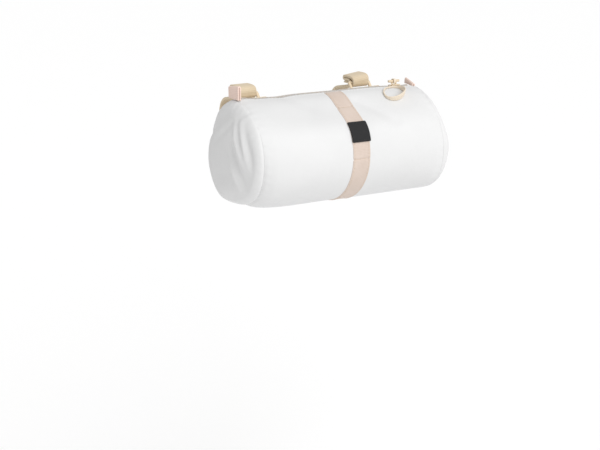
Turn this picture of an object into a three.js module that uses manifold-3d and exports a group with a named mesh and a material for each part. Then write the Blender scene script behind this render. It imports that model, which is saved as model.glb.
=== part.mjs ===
// Handlebar bag: a soft roll of white coated fabric, hung from a handlebar by two webbing straps.
// Millimetres, +Z up. X runs along the bar, and the front of the bag faces -Y.
// The origin is on the axis of the bar, midway between the two straps.
// A "turn" is an angle round the roll in degrees: 0 on top, 90 in front, 180 below, 270 behind.

import * as THREE from "three";
import { mergeVertices } from "three/addons/utils/BufferGeometryUtils.js";
import Module from "manifold-3d";

// Where the roll hangs from the bar
const BAR_RADIUS = 15.9;
const ROLL_AXIS_Y = -74;
const ROLL_AXIS_Z = -27;

// Fabric
const FABRIC = 2;
const GAP = 0.3;
const SEAM_X = 104;

// Sections of the roll along X: mean radius, how far the section is lifted, and how deep its upper front is
// flattened where the fabric hangs slack between the zip and the belly
const ROLL_SECTIONS = [
  { x: -104, radius: 49.5, lift: 4.2, flat: 0.5 },
  { x: -92, radius: 52.4, lift: 2.8, flat: 1.6 },
  { x: -60, radius: 53.6, lift: 1.8, flat: 3.6 },
  { x: 0, radius: 54.4, lift: 0.6, flat: 5 },
  { x: 60, radius: 55.2, lift: -0.8, flat: 3.6 },
  { x: 92, radius: 54.7, lift: -2.4, flat: 1.6 },
  { x: 104, radius: 53.2, lift: -4, flat: 0.5 },
];
const MIDDLE_RADIUS = 54.4;
const FLAT_TURN = 33;
const FLAT_SPREAD = 34;

// Soft dents of the roll, each a valley from one place to another on its surface
const ROLL_DENTS = [
  { fromX: 21, fromTurn: 22, toX: 47, toTurn: 56, width: 8, depth: 1.6 },
  { fromX: -58, fromTurn: 0, toX: -38, toTurn: 22, width: 9, depth: 1.2 },
  { fromX: 84, fromTurn: 20, toX: 97, toTurn: 48, width: 5, depth: 1.1 },
  { fromX: -97, fromTurn: 26, toX: -80, toTurn: 44, width: 5, depth: 1 },
];

// End panels: shoulder at the seam, flap above a crease line, bulge below it, and folds that fade at the rim
const SHOULDER = 6;
const CREASE_BACK = { y: 52, z: 14 };
const CREASE_FRONT = { y: -18, z: 45 };
const CREASE_SOFTNESS = 11;
const FULLNESS_POWER = 3;
const FOLD_FADE_POWER = 6;
const END_BULGE = { left: 10, right: 6 };
const END_FLAP = { left: 3, right: 4 };
const END_FOLDS = {
  left: [
    { fromY: 3, fromZ: 32, toY: -5, toZ: 4, width: 4.6, height: 1.8 },
    { fromY: -13, fromZ: 36, toY: -31, toZ: -2, width: 4.8, height: 2 },
    { fromY: 21, fromZ: 6, toY: -1, toZ: -28, width: 5, height: 1.5 },
    { fromY: -25, fromZ: 30, toY: -39, toZ: 0, width: 4.6, height: -1.8 },
    { fromY: -6, fromZ: 34, toY: -18, toZ: -8, width: 4.6, height: -2 },
    { fromY: 12, fromZ: 24, toY: 6, toZ: -12, width: 5, height: -1.4 },
    { fromY: 40, fromZ: 20, toY: 6, toZ: 33, width: 4.4, height: 1.2 },
    { fromY: 36, fromZ: -4, toY: 14, toZ: -36, width: 13, height: 5 },
  ],
  right: [
    { fromY: 6, fromZ: 30, toY: -4, toZ: -18, width: 6, height: -1.2 },
    { fromY: -18, fromZ: 28, toY: -26, toZ: -10, width: 6, height: 1 },
  ],
};

// Rise of the fabric round the two ends of the zip
const ZIP_END_RISES = [
  { endX: -104, reach: 14, rise: 3.2 },
  { endX: 104, reach: 9, rise: 3.4 },
];
const RISE_TURN = -8;
const RISE_SPREAD = 22;
// How strongly the stations along the roll crowd towards its ends, where those rises are
const CROWDING = 0.38;

// Zip
const ZIP_TURN = -7.5;
const ZIP_SLOT = 9.6;
const ZIP_LENGTH = 205;
const TAPE = 1.1;
const TAPE_OVERLAP = 4;
const COIL_WIDTH = 5.6;
const COIL_HEIGHT = 2.1;
const COIL_EDGE_SHARE = 0.5;

// Slider and its bail, at the right end of the zip
const SLIDER_X = 82;
const SLIDER_LENGTH = 11;
const SLIDER_MOUTH = 9.5;
const SLIDER_FLARE_X = 1.1;
const SLIDER_TAIL = 7;
const SLIDER_PLATE = 1.8;
const SLIDER_CLEARANCE = 0.5;
const BAIL_LENGTH = 14;
const BAIL_BAR = 2.6;
const BAIL_HOLE = 2.1;
const BAIL_FOOT_INSET = 3.3;
const BAIL_THROAT = 0.4;
const BAIL_CHAMFER = 0.5;

// Pull loop: a long ring of ribbon that stands on its edge on the front, with a hitch round the bail
const LOOP_X = 65.5;
const LOOP_TURN = 18.5;
const LOOP_LONG = 17;
const LOOP_SHORT = 10.5;
const LOOP_SKEW = 22;
const LOOP_FRONT_HEIGHT = 5;
const LOOP_BACK_HEIGHT = 1.6;
const LOOP_THICKNESS = 1.3;
const LOOP_NECK_ANGLE = -50;
const HITCH_WIDTH = 4.8;
const HITCH_WALL = 0.9;
const NECK_WIDTH = 4;
const NECK_REACH = 4;
const NECK_HEIGHT = 2.4;

// Webbing
const WEBBING_WIDTH = 20;
const BAND_THICKNESS = 1.4;
const BAND_X = 0.6;
const BAND_SHORT_OF_ZIP = 2.4;
const LABEL_WIDTH = 20.6;
const LABEL_THICKNESS = 0.9;
const LABEL_FROM_TURN = 53;
const LABEL_TO_TURN = 75;
const TAB_THICKNESS = 1.5;
const TAB_SPREAD = 1;
const TAB_FOOT_TURN = -4;
// Slant: how much higher a tab's front corner stands than its middle
const TABS = [
  { name: "zip_tab_left", x: -104.2, height: 10.4, twist: 0, slant: 1.6 },
  { name: "zip_tab_right", x: 104.2, height: 5.4, twist: -13, slant: -1.7 },
];

// Straps, rings and anchors
const STRAP_X = 69;
const STRAP_THICKNESS = 2.6;
const STRAP_BAR_CLEARANCE = 0.6;
const STRAP_SEWN_FROM = 252;
const STRAP_SEWN_TO = 270;
const STRAP_LEAVES_BAR = 78;
const STRAP_MEETS_BAR = -84;
const STRAP_ROUND_RING = { from: -104, to: -182 };
// Middle line of the strap between the bag and the underside of the bar
const STRAP_RISE = [
  { y: -16.4, z: -21.7 },
  { y: -10.8, z: -19 },
  { y: -5, z: -18.4 },
];
// Middle line of the bow that the strap makes up from the ring, and the flat folds of its end under the bow
const STRAP_BOW = [
  { y: -26.4, z: 28.2 },
  { y: -24.9, z: 30.6 },
  { y: -21.5, z: 31.8 },
  { y: -16, z: 32.1 },
];
const STRAP_FOLD = { backY: -9, frontY: -17, topZ: 32, pitch: 3.2 };
const RING_TILT = 50;
const RING_UPPER_BAR = { y: -22.5, z: 25.5 };
const RING_BAR_SPACING = 12;
const RING_BAR = 3.2;
const RING_DEPTH = 2.8;
const RING_INNER_WIDTH = 21.5;
const RING_CORNER = 2.2;
const ANCHOR_THICKNESS = 1.6;
const ANCHOR_FROM = 332;
const ANCHOR_TO = 322;
const ANCHOR_ROUND_RING = { from: -110, to: 150 };

const FINISHES = {
  fabric: { color: 0xe9e8e6, roughness: 0.6 },
  webbing: { color: 0xdcc9b8, roughness: 0.85 },
  strap: { color: 0xe0cfb2, roughness: 0.85 },
  tape: { color: 0xd9cec4, roughness: 0.8 },
  plastic: { color: 0xddc9ac, roughness: 0.5 },
  label: { color: 0x2a2a2b, roughness: 0.8 },
};

const radians = THREE.MathUtils.degToRad;
const degrees = THREE.MathUtils.radToDeg;
const lerp = THREE.MathUtils.lerp;
const smoothstep = THREE.MathUtils.smoothstep;

const wasm = await Module();
wasm.setup();

// Reads one column of a table at x, on a smooth curve through its rows
function readColumn(rows, column, x) {
  const end = rows.length - 1;
  const next = rows.findIndex((row) => row.x >= x);
  const right = next < 1 ? 1 : next;
  const slope = (i) => {
    const before = rows[Math.max(i - 1, 0)];
    const after = rows[Math.min(i + 1, end)];
    return (after[column] - before[column]) / (after.x - before.x);
  };
  const [a, b] = [rows[right - 1], rows[right]];
  const span = b.x - a.x;
  const t = THREE.MathUtils.clamp((x - a.x) / span, 0, 1);
  const rise = (2 * t - 3) * t * t;
  const leave = slope(right - 1) * span * t * (1 - t) * (1 - t);
  const arrive = slope(right) * span * t * t * (t - 1);
  return a[column] * (1 + rise) - b[column] * rise + leave + arrive;
}

// How far a point lies from the line between two others
function fromLine(px, py, ax, ay, bx, by) {
  const [dx, dy] = [bx - ax, by - ay];
  const along = ((px - ax) * dx + (py - ay) * dy) / (dx * dx + dy * dy);
  const held = THREE.MathUtils.clamp(along, 0, 1);
  return Math.hypot(px - ax - held * dx, py - ay - held * dy);
}

// Fold across its line: a bell, fading out beyond its two ends
function bell(distance, width) {
  return Math.exp(-((distance / width) ** 2));
}

// Radius of the roll at x and turn, with the slack upper front, the soft dents and the zip's end rises
function rollRadius(x, anyTurn) {
  const turn = anyTurn > 180 ? anyTurn - 360 : anyTurn;
  const radius = readColumn(ROLL_SECTIONS, "radius", x);
  const away = THREE.MathUtils.clamp((turn - FLAT_TURN) / FLAT_SPREAD, -1, 1);
  const flat = readColumn(ROLL_SECTIONS, "flat", x) * Math.cos((away * Math.PI) / 2) ** 2;
  let dents = 0;
  for (const dent of ROLL_DENTS) {
    const arc = radians(1) * radius;
    const distance = fromLine(x, turn * arc, dent.fromX, dent.fromTurn * arc, dent.toX, dent.toTurn * arc);
    dents += dent.depth * bell(distance, dent.width);
  }
  let rises = 0;
  for (const { endX, reach, rise } of ZIP_END_RISES) {
    rises += rise * bell(x - endX, reach) * bell(turn - RISE_TURN, RISE_SPREAD);
  }
  return radius - flat - dents + rises;
}

// Point on the roll, raised by a height above the fabric's outer face
function onRoll(x, turn, height) {
  const radius = rollRadius(x, turn) + height;
  const lift = readColumn(ROLL_SECTIONS, "lift", x);
  const y = ROLL_AXIS_Y - radius * Math.sin(radians(turn));
  const z = ROLL_AXIS_Z + lift + radius * Math.cos(radians(turn));
  return new THREE.Vector3(x, y, z);
}

// Turn that an arc length in millimetres takes at the top of the roll
function turnOf(length) {
  return degrees(length / MIDDLE_RADIUS);
}

// Geometry from points and triangles, turned to face out
function closedGeometry(points, triangles) {
  let volume = 0;
  for (const [a, b, c] of triangles) {
    volume += points[a].dot(new THREE.Vector3().crossVectors(points[b], points[c]));
  }
  const facing = volume < 0 ? triangles.map(([a, b, c]) => [a, c, b]) : triangles;
  const geometry = new THREE.BufferGeometry();
  geometry.setFromPoints(points);
  geometry.setIndex(facing.flat());
  geometry.computeVertexNormals();
  return geometry;
}

// Sheet with thickness: two grids of points, joined round their four edges
function sheetSolid(columns, rows, pointAt) {
  const points = [];
  const triangles = [];
  const index = (side, i, j) => (side * (columns + 1) + i) * (rows + 1) + j;
  for (const side of [0, 1]) {
    for (let i = 0; i <= columns; i += 1) {
      for (let j = 0; j <= rows; j += 1) {
        points.push(pointAt(i / columns, j / rows, side));
      }
    }
  }
  const quad = (a, b, c, d) => triangles.push([a, b, c], [a, c, d]);
  for (let i = 0; i < columns; i += 1) {
    for (let j = 0; j < rows; j += 1) {
      quad(index(0, i, j), index(0, i + 1, j), index(0, i + 1, j + 1), index(0, i, j + 1));
      quad(index(1, i, j), index(1, i, j + 1), index(1, i + 1, j + 1), index(1, i + 1, j));
    }
    quad(index(0, i + 1, 0), index(0, i, 0), index(1, i, 0), index(1, i + 1, 0));
    quad(index(0, i, rows), index(0, i + 1, rows), index(1, i + 1, rows), index(1, i, rows));
  }
  for (let j = 0; j < rows; j += 1) {
    quad(index(0, 0, j), index(0, 0, j + 1), index(1, 0, j + 1), index(1, 0, j));
    quad(index(0, columns, j + 1), index(0, columns, j), index(1, columns, j), index(1, columns, j + 1));
  }
  return closedGeometry(points, triangles);
}

// Share of the way along the roll, with even steps crowded towards its two ends
function crowded(share) {
  const fromMiddle = 2 * share - 1;
  return 0.5 + (fromMiddle * (1 + CROWDING - CROWDING * fromMiddle ** 2)) / 2;
}

// Sheet that lies on the roll between two places along X and two turns, from a low to a high height
function rollSheet(columns, rows, fromX, toX, fromTurn, toTurn, low, high) {
  return sheetSolid(columns, rows, (u, v, side) =>
    onRoll(lerp(fromX, toX, crowded(u)), lerp(fromTurn, toTurn, v), side === 0 ? high : low),
  );
}

// Dish with thickness: rings of points round a centre on two sides, joined at the rim
function dishSolid(rings, spokes, pointAt) {
  const points = [];
  const triangles = [];
  const perSide = 1 + rings * spokes;
  const index = (side, ring, spoke) =>
    side * perSide + (ring === 0 ? 0 : 1 + (ring - 1) * spokes + (spoke % spokes));
  for (const side of [0, 1]) {
    points.push(pointAt(0, 0, side));
    for (let ring = 1; ring <= rings; ring += 1) {
      for (let spoke = 0; spoke < spokes; spoke += 1) {
        points.push(pointAt(ring, (360 * spoke) / spokes, side));
      }
    }
  }
  for (const side of [0, 1]) {
    const turnRound = ([a, b, c]) => (side === 0 ? [a, b, c] : [a, c, b]);
    for (let spoke = 0; spoke < spokes; spoke += 1) {
      triangles.push(turnRound([index(side, 0, 0), index(side, 1, spoke), index(side, 1, spoke + 1)]));
      for (let ring = 1; ring < rings; ring += 1) {
        const [a, b] = [index(side, ring, spoke), index(side, ring + 1, spoke)];
        const [c, d] = [index(side, ring + 1, spoke + 1), index(side, ring, spoke + 1)];
        triangles.push(turnRound([a, b, c]), turnRound([a, c, d]));
      }
    }
  }
  for (let spoke = 0; spoke < spokes; spoke += 1) {
    const [a, b] = [index(0, rings, spoke), index(0, rings, spoke + 1)];
    const [c, d] = [index(1, rings, spoke + 1), index(1, rings, spoke)];
    triangles.push([b, a, d], [b, d, c]);
  }
  return closedGeometry(points, triangles);
}

// Turns the plane of a drawn profile to YZ, and its depth to X
const PROFILE_TO_X = new THREE.Matrix4().makeBasis(
  new THREE.Vector3(0, 1, 0),
  new THREE.Vector3(0, 0, 1),
  new THREE.Vector3(1, 0, 0),
);

// Ribbon cut in profile: a path thickened to both sides and extruded to its width along X
function ribbonSolid(path, thickness, centreX, width) {
  const left = [];
  const right = [];
  path.forEach((point, i) => {
    const before = path[Math.max(i - 1, 0)];
    const after = path[Math.min(i + 1, path.length - 1)];
    const along = after.clone().sub(before).normalize();
    const across = new THREE.Vector2(-along.y, along.x).multiplyScalar(thickness / 2);
    left.push(point.clone().add(across));
    right.push(point.clone().sub(across));
  });
  const shape = new THREE.Shape([...left, ...right.reverse()]);
  const geometry = new THREE.ExtrudeGeometry(shape, { depth: width, bevelEnabled: false, curveSegments: 1 });
  geometry.applyMatrix4(PROFILE_TO_X);
  geometry.translate(centreX - width / 2, 0, 0);
  return welded(geometry);
}

// Geometry with its shared points merged, and only their places kept
function welded(geometry) {
  const bare = geometry.clone();
  bare.deleteAttribute("normal");
  bare.deleteAttribute("uv");
  const merged = mergeVertices(bare);
  merged.computeVertexNormals();
  return merged;
}

function toSolid(geometry) {
  const merged = welded(geometry);
  return new wasm.Manifold(
    new wasm.Mesh({
      numProp: 3,
      vertProperties: new Float32Array(merged.attributes.position.array),
      triVerts: new Uint32Array(merged.index.array),
    }),
  );
}

function toGeometry(solid) {
  const mesh = solid.getMesh();
  const geometry = new THREE.BufferGeometry();
  geometry.setAttribute("position", new THREE.BufferAttribute(new Float32Array(mesh.vertProperties), 3));
  geometry.setIndex(new THREE.BufferAttribute(new Uint32Array(mesh.triVerts), 1));
  geometry.computeVertexNormals();
  return geometry;
}

function fused(geometries) {
  const solids = geometries.map(toSolid);
  return toGeometry(solids.reduce((whole, solid) => whole.add(solid)));
}

// Points of an arc in the YZ plane, by angle from +Y towards +Z
function arcPoints(centre, radius, fromAngle, toAngle, steps) {
  return Array.from({ length: steps + 1 }, (_, i) => {
    const angle = radians(lerp(fromAngle, toAngle, i / steps));
    return new THREE.Vector2(centre.y + radius * Math.cos(angle), centre.z + radius * Math.sin(angle));
  });
}

// Points of a smooth curve through a few places in the YZ plane
function smoothPoints(places, steps) {
  return new THREE.SplineCurve(places.map(({ y, z }) => new THREE.Vector2(y, z))).getPoints(steps);
}

// Points along the roll in the YZ plane at x
function rollPoints(x, fromTurn, toTurn, height, steps) {
  return Array.from({ length: steps + 1 }, (_, i) => {
    const point = onRoll(x, lerp(fromTurn, toTurn, i / steps), height);
    return new THREE.Vector2(point.y, point.z);
  });
}

const bag = new THREE.Group();
bag.name = "handlebar_bag";

function addPiece(name, geometry, finish) {
  const mesh = new THREE.Mesh(geometry, new THREE.MeshStandardMaterial(finish));
  mesh.name = name;
  bag.add(mesh);
}

// Roll: one panel of fabric from the front lip of the zip, under the bag, to the back lip
const lipHalf = turnOf(ZIP_SLOT / 2);
const SHELL_COLUMNS = 20;
const SHELL_ROWS = 46;
const frontLip = ZIP_TURN + lipHalf;
const backLip = 360 + ZIP_TURN - lipHalf;
addPiece(
  "barrel_shell",
  rollSheet(SHELL_COLUMNS, SHELL_ROWS, -SEAM_X, SEAM_X, frontLip, backLip, -FABRIC, 0),
  FINISHES.fabric,
);

// Height of an end panel's face at a place on it, outside the plane of its shoulder
function faceHeight(end, y, z, share) {
  const { y: backY, z: backZ } = CREASE_BACK;
  const { y: frontY, z: frontZ } = CREASE_FRONT;
  const length = Math.hypot(frontY - backY, frontZ - backZ);
  const above = ((z - backZ) * (backY - frontY) + (y - backY) * (frontZ - backZ)) / length;
  const belly = smoothstep(-above, -CREASE_SOFTNESS / 2, CREASE_SOFTNESS);
  let height = lerp(END_FLAP[end], END_BULGE[end], belly) * (1 - share ** FULLNESS_POWER);
  for (const fold of END_FOLDS[end]) {
    const distance = fromLine(y, z, fold.fromY, fold.fromZ, fold.toY, fold.toZ);
    height += fold.height * bell(distance, fold.width) * (1 - share ** FOLD_FADE_POWER);
  }
  return height;
}

// End panels: a face with folds, and a quarter-round shoulder down to the seam
const SHOULDER_RINGS = 3;
for (const { end, outward, faceRings, spokes } of [
  { end: "left", outward: -1, faceRings: 10, spokes: 48 },
  { end: "right", outward: 1, faceRings: 5, spokes: 36 },
]) {
  const seamX = outward * SEAM_X;
  const lift = readColumn(ROLL_SECTIONS, "lift", seamX);
  const geometry = dishSolid(faceRings + SHOULDER_RINGS, spokes, (ring, turn, side) => {
    const inset = side === 0 ? 0 : FABRIC;
    const rim = rollRadius(seamX, turn) - inset;
    const round = SHOULDER - inset;
    const roll = radians((90 * Math.max(ring - faceRings, 0)) / SHOULDER_RINGS);
    const radius = (rim - round) * Math.min(ring / faceRings, 1) + round * Math.sin(roll);
    const y = -radius * Math.sin(radians(turn));
    const z = radius * Math.cos(radians(turn));
    const height = (round + faceHeight(end, y, z, radius / rim)) * Math.cos(roll);
    const x = seamX + outward * (GAP + height);
    return new THREE.Vector3(x, ROLL_AXIS_Y + y, ROLL_AXIS_Z + lift + z);
  });
  addPiece(`end_panel_${end}`, geometry, FINISHES.fabric);
}

// Zip: two tapes sewn under the lips, and the closed coil between them
const zipHalf = ZIP_LENGTH / 2;
const tapeTop = -FABRIC - GAP;
const tapeOuter = turnOf(ZIP_SLOT / 2 + TAPE_OVERLAP);
const tapeInner = turnOf(GAP);
const ZIP_COLUMNS = 20;
for (const [name, sense] of [["zip_tape_front", 1], ["zip_tape_back", -1]]) {
  const [near, far] = [ZIP_TURN + sense * tapeInner, ZIP_TURN + sense * tapeOuter];
  const tape = rollSheet(ZIP_COLUMNS, 1, -zipHalf, zipHalf, near, far, tapeTop - TAPE, tapeTop);
  addPiece(name, tape, FINISHES.tape);
}
const coilHalf = turnOf(COIL_WIDTH / 2);
const coilBase = tapeTop + GAP;
addPiece(
  "zip_coil",
  sheetSolid(ZIP_COLUMNS, 4, (u, v, side) => {
    const crown = Math.sqrt(1 - (2 * v - 1) ** 2 * (1 - COIL_EDGE_SHARE ** 2));
    const height = side === 0 ? coilBase + COIL_HEIGHT * crown : coilBase;
    return onRoll(lerp(-zipHalf, zipHalf, crowded(u)), ZIP_TURN + lerp(-coilHalf, coilHalf, v), height);
  }),
  FINISHES.tape,
);

// Slider: a wedge-shaped plate over the coil, with a bail standing on it along the zip
const zipTop = onRoll(SLIDER_X, ZIP_TURN, 0);
const plateBase = coilBase + COIL_HEIGHT + SLIDER_CLEARANCE;
const bailBase = plateBase + SLIDER_PLATE;
const bailTop = bailBase + BAIL_HOLE + BAIL_BAR;
const plateShape = new THREE.Shape([
  new THREE.Vector2(-SLIDER_LENGTH / 2, -SLIDER_TAIL / 2),
  new THREE.Vector2(SLIDER_FLARE_X, -SLIDER_TAIL / 2),
  new THREE.Vector2(SLIDER_LENGTH / 2, -SLIDER_MOUTH / 2),
  new THREE.Vector2(SLIDER_LENGTH / 2, SLIDER_MOUTH / 2),
  new THREE.Vector2(SLIDER_FLARE_X, SLIDER_TAIL / 2),
  new THREE.Vector2(-SLIDER_LENGTH / 2, SLIDER_TAIL / 2),
]);
const plate = new THREE.ExtrudeGeometry(plateShape, { depth: SLIDER_PLATE, bevelEnabled: false });
plate.translate(0, 0, plateBase);
const bailFoot = bailBase - SLIDER_PLATE / 2;
const footOuter = BAIL_LENGTH / 2 - BAIL_FOOT_INSET;
const footInner = footOuter - BAIL_BAR;
const holeHalf = BAIL_LENGTH / 2 - BAIL_BAR - BAIL_THROAT;
const bailShape = new THREE.Shape([
  new THREE.Vector2(-footOuter, bailFoot),
  new THREE.Vector2(-footInner, bailFoot),
  new THREE.Vector2(-holeHalf, bailBase + BAIL_HOLE),
  new THREE.Vector2(holeHalf, bailBase + BAIL_HOLE),
  new THREE.Vector2(footInner, bailFoot),
  new THREE.Vector2(footOuter, bailFoot),
  new THREE.Vector2(BAIL_LENGTH / 2, bailTop - BAIL_BAR / 2),
  new THREE.Vector2(BAIL_LENGTH / 2 - BAIL_CHAMFER, bailTop),
  new THREE.Vector2(-BAIL_LENGTH / 2 + BAIL_CHAMFER, bailTop),
  new THREE.Vector2(-BAIL_LENGTH / 2, bailTop - BAIL_BAR / 2),
]);
const bail = new THREE.ExtrudeGeometry(bailShape, { depth: BAIL_BAR, bevelEnabled: false });
bail.rotateX(Math.PI / 2);
bail.translate(0, BAIL_BAR / 2, 0);
const slider = fused([plate, bail]);
slider.rotateX(radians(ZIP_TURN));
slider.translate(zipTop.x, zipTop.y, zipTop.z);
addPiece("zip_slider", slider, FINISHES.plastic);

// Pull loop: a square hitch round the bail's bar, a neck, and a ring of ribbon on its edge on the front
const hitchInner = BAIL_BAR / 2 + GAP;
const hitchOuter = hitchInner + HITCH_WALL;
const squareCorners = (half) => [[-half, -half], [half, -half], [half, half], [-half, half]];
const hitchShape = new THREE.Shape(squareCorners(hitchOuter).map(([y, z]) => new THREE.Vector2(y, z)));
hitchShape.holes.push(new THREE.Path(squareCorners(hitchInner).map(([y, z]) => new THREE.Vector2(y, z))));
const hitch = new THREE.ExtrudeGeometry(hitchShape, { depth: HITCH_WIDTH, bevelEnabled: false });
hitch.applyMatrix4(PROFILE_TO_X);
hitch.translate(-HITCH_WIDTH / 2, 0, bailTop - BAIL_BAR / 2);
hitch.rotateX(radians(ZIP_TURN));
hitch.translate(zipTop.x, zipTop.y, zipTop.z);

const loopArc = radians(LOOP_TURN) * MIDDLE_RADIUS;
const bailArc = radians(ZIP_TURN) * MIDDLE_RADIUS;
const loopLean = Math.atan2(SLIDER_X - LOOP_X, loopArc - bailArc);
const LOOP_STEPS = 28;
// Place on the ring by angle from its right end over its front, inset from its outer edge
function loopPoint(angle, inset, height) {
  const skew = radians(LOOP_SKEW);
  const along = (LOOP_LONG - inset) * Math.cos(angle);
  const forward = (LOOP_SHORT - inset) * Math.sin(angle);
  const x = LOOP_X + along * Math.cos(skew) + forward * Math.sin(skew);
  const arc = loopArc - along * Math.sin(skew) + forward * Math.cos(skew);
  return onRoll(x, degrees(arc / MIDDLE_RADIUS), height);
}
function loopRing() {
  const points = [];
  const triangles = [];
  for (let step = 0; step < LOOP_STEPS; step += 1) {
    const angle = (2 * Math.PI * step) / LOOP_STEPS;
    const front = (1 + Math.sin(angle)) / 2;
    const low = GAP;
    const high = low + lerp(LOOP_BACK_HEIGHT, LOOP_FRONT_HEIGHT, front * front);
    points.push(loopPoint(angle, 0, low), loopPoint(angle, 0, high));
    points.push(loopPoint(angle, LOOP_THICKNESS, high), loopPoint(angle, LOOP_THICKNESS, low));
  }
  for (let step = 0; step < LOOP_STEPS; step += 1) {
    const [here, next] = [step * 4, ((step + 1) % LOOP_STEPS) * 4];
    for (let corner = 0; corner < 4; corner += 1) {
      const after = (corner + 1) % 4;
      triangles.push([here + corner, here + after, next + after]);
      triangles.push([here + corner, next + after, next + corner]);
    }
  }
  return closedGeometry(points, triangles);
}
// Neck: from inside the hitch's front wall down to the back of the ring
const neckTop = bailTop - BAIL_BAR / 2 - hitchInner - HITCH_WALL / 2;
const neckStart = new THREE.Vector3(0, -hitchInner - HITCH_WALL / 2, neckTop);
neckStart.applyAxisAngle(new THREE.Vector3(1, 0, 0), radians(ZIP_TURN)).add(zipTop);
const neckAngle = radians(LOOP_NECK_ANGLE);
const neckEnd = loopPoint(neckAngle, LOOP_THICKNESS / 2, GAP + LOOP_BACK_HEIGHT / 2);
const neckMid = loopPoint(neckAngle, -NECK_REACH, NECK_HEIGHT);
const neckCurve = new THREE.QuadraticBezierCurve3(neckStart, neckMid, neckEnd);
const NECK_STEPS = 5;
const neck = sheetSolid(NECK_STEPS, 1, (u, v, side) => {
  const centre = neckCurve.getPoint(u);
  const sideways = new THREE.Vector3(Math.cos(loopLean), Math.sin(loopLean), 0);
  const across = sideways.multiplyScalar((v - 0.5) * NECK_WIDTH);
  const lift = new THREE.Vector3(0, 0, (0.5 - side) * HITCH_WALL);
  return centre.add(across).add(lift);
});
addPiece("pull_loop", fused([hitch, neck, loopRing()]), FINISHES.strap);

// Zip tabs: webbing folded in two, standing in the end seams
for (const tab of TABS) {
  const innerFace = tab.x - Math.sign(tab.x) * (TAB_SPREAD + TAB_THICKNESS);
  const foot = onRoll(innerFace, TAB_FOOT_TURN, GAP).z;
  const middleY = onRoll(innerFace, ZIP_TURN, 0).y;
  const fold = arcPoints({ y: 0, z: foot + tab.height - TAB_SPREAD }, TAB_SPREAD, 180, 0, 6);
  const path = [new THREE.Vector2(-TAB_SPREAD, foot), ...fold, new THREE.Vector2(TAB_SPREAD, foot)];
  const geometry = ribbonSolid(path, TAB_THICKNESS, 0, WEBBING_WIDTH);
  const corners = geometry.attributes.position;
  for (let i = 0; i < corners.count; i += 1) {
    const forward = corners.getX(i) / (WEBBING_WIDTH / 2);
    const raised = (corners.getZ(i) - foot) / tab.height;
    corners.setZ(i, corners.getZ(i) + tab.slant * forward * raised);
  }
  geometry.rotateZ(radians(tab.twist) - Math.PI / 2);
  geometry.translate(tab.x, middleY, 0);
  addPiece(tab.name, geometry, FINISHES.webbing);
}

// Band and label on the roll's middle
const bandHalf = WEBBING_WIDTH / 2;
const bandFrom = frontLip + turnOf(BAND_SHORT_OF_ZIP);
const bandTo = backLip - turnOf(BAND_SHORT_OF_ZIP);
const BAND_ROWS = 46;
addPiece(
  "front_band",
  rollSheet(2, BAND_ROWS, BAND_X - bandHalf, BAND_X + bandHalf, bandFrom, bandTo, GAP, GAP + BAND_THICKNESS),
  FINISHES.webbing,
);
const labelBase = 2 * GAP + BAND_THICKNESS;
const labelFace = labelBase + LABEL_THICKNESS;
const [labelLeft, labelRight] = [BAND_X - LABEL_WIDTH / 2, BAND_X + LABEL_WIDTH / 2];
addPiece(
  "label_patch",
  rollSheet(2, 5, labelLeft, labelRight, LABEL_FROM_TURN, LABEL_TO_TURN, labelBase, labelFace),
  FINISHES.label,
);

// Ring: a flat rectangular frame with round corners, tilted up towards the bar
const tilt = radians(RING_TILT);
const ringAlong = new THREE.Vector2(Math.cos(tilt), Math.sin(tilt));
const upperBar = new THREE.Vector2(RING_UPPER_BAR.y, RING_UPPER_BAR.z);
const lowerBar = upperBar.clone().addScaledVector(ringAlong, -RING_BAR_SPACING);
const ringCentre = upperBar.clone().addScaledVector(ringAlong, -RING_BAR_SPACING / 2);
const barReach = Math.hypot(RING_BAR, RING_DEPTH) / 2;

function roundedOutline(halfWidth, halfLength, corner) {
  const outline = new THREE.Shape();
  outline.moveTo(halfWidth, -halfLength + corner);
  outline.absarc(halfWidth - corner, halfLength - corner, corner, 0, Math.PI / 2);
  outline.absarc(-halfWidth + corner, halfLength - corner, corner, Math.PI / 2, Math.PI);
  outline.absarc(-halfWidth + corner, -halfLength + corner, corner, Math.PI, Math.PI * 1.5);
  outline.absarc(halfWidth - corner, -halfLength + corner, corner, Math.PI * 1.5, Math.PI * 2);
  return outline;
}

function ringSolid(x) {
  const innerLength = RING_BAR_SPACING - RING_BAR;
  const shape = roundedOutline(RING_INNER_WIDTH / 2 + RING_BAR, innerLength / 2 + RING_BAR, RING_CORNER);
  shape.holes.push(roundedOutline(RING_INNER_WIDTH / 2, innerLength / 2, RING_CORNER / 4));
  const extrusion = { depth: RING_DEPTH, bevelEnabled: false, curveSegments: 3 };
  const geometry = new THREE.ExtrudeGeometry(shape, extrusion);
  geometry.translate(0, 0, -RING_DEPTH / 2);
  geometry.rotateX(tilt);
  geometry.translate(x, ringCentre.x, ringCentre.y);
  return welded(geometry);
}

const yz = (point) => ({ y: point.x, z: point.y });

// Anchor: webbing sewn behind the zip, led round the ring's lower bar and back on top of itself
function anchorPath(x) {
  const low = GAP + ANCHOR_THICKNESS / 2;
  const high = low + ANCHOR_THICKNESS + GAP;
  const lower = rollPoints(x, ANCHOR_FROM, ANCHOR_TO, low, 3);
  const upper = rollPoints(x, ANCHOR_TO, ANCHOR_FROM, high, 3);
  const { from, to } = ANCHOR_ROUND_RING;
  const round = arcPoints(yz(lowerBar), barReach + GAP + ANCHOR_THICKNESS / 2, from, to, 10);
  const out = smoothPoints([yz(lower[2]), yz(lower[3]), yz(round[0])], 8);
  const back = smoothPoints([yz(round[10]), yz(upper[0]), yz(upper[1])], 8);
  return [...lower.slice(0, 2), ...out, ...round.slice(1, 10), ...back, ...upper.slice(2)];
}

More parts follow.
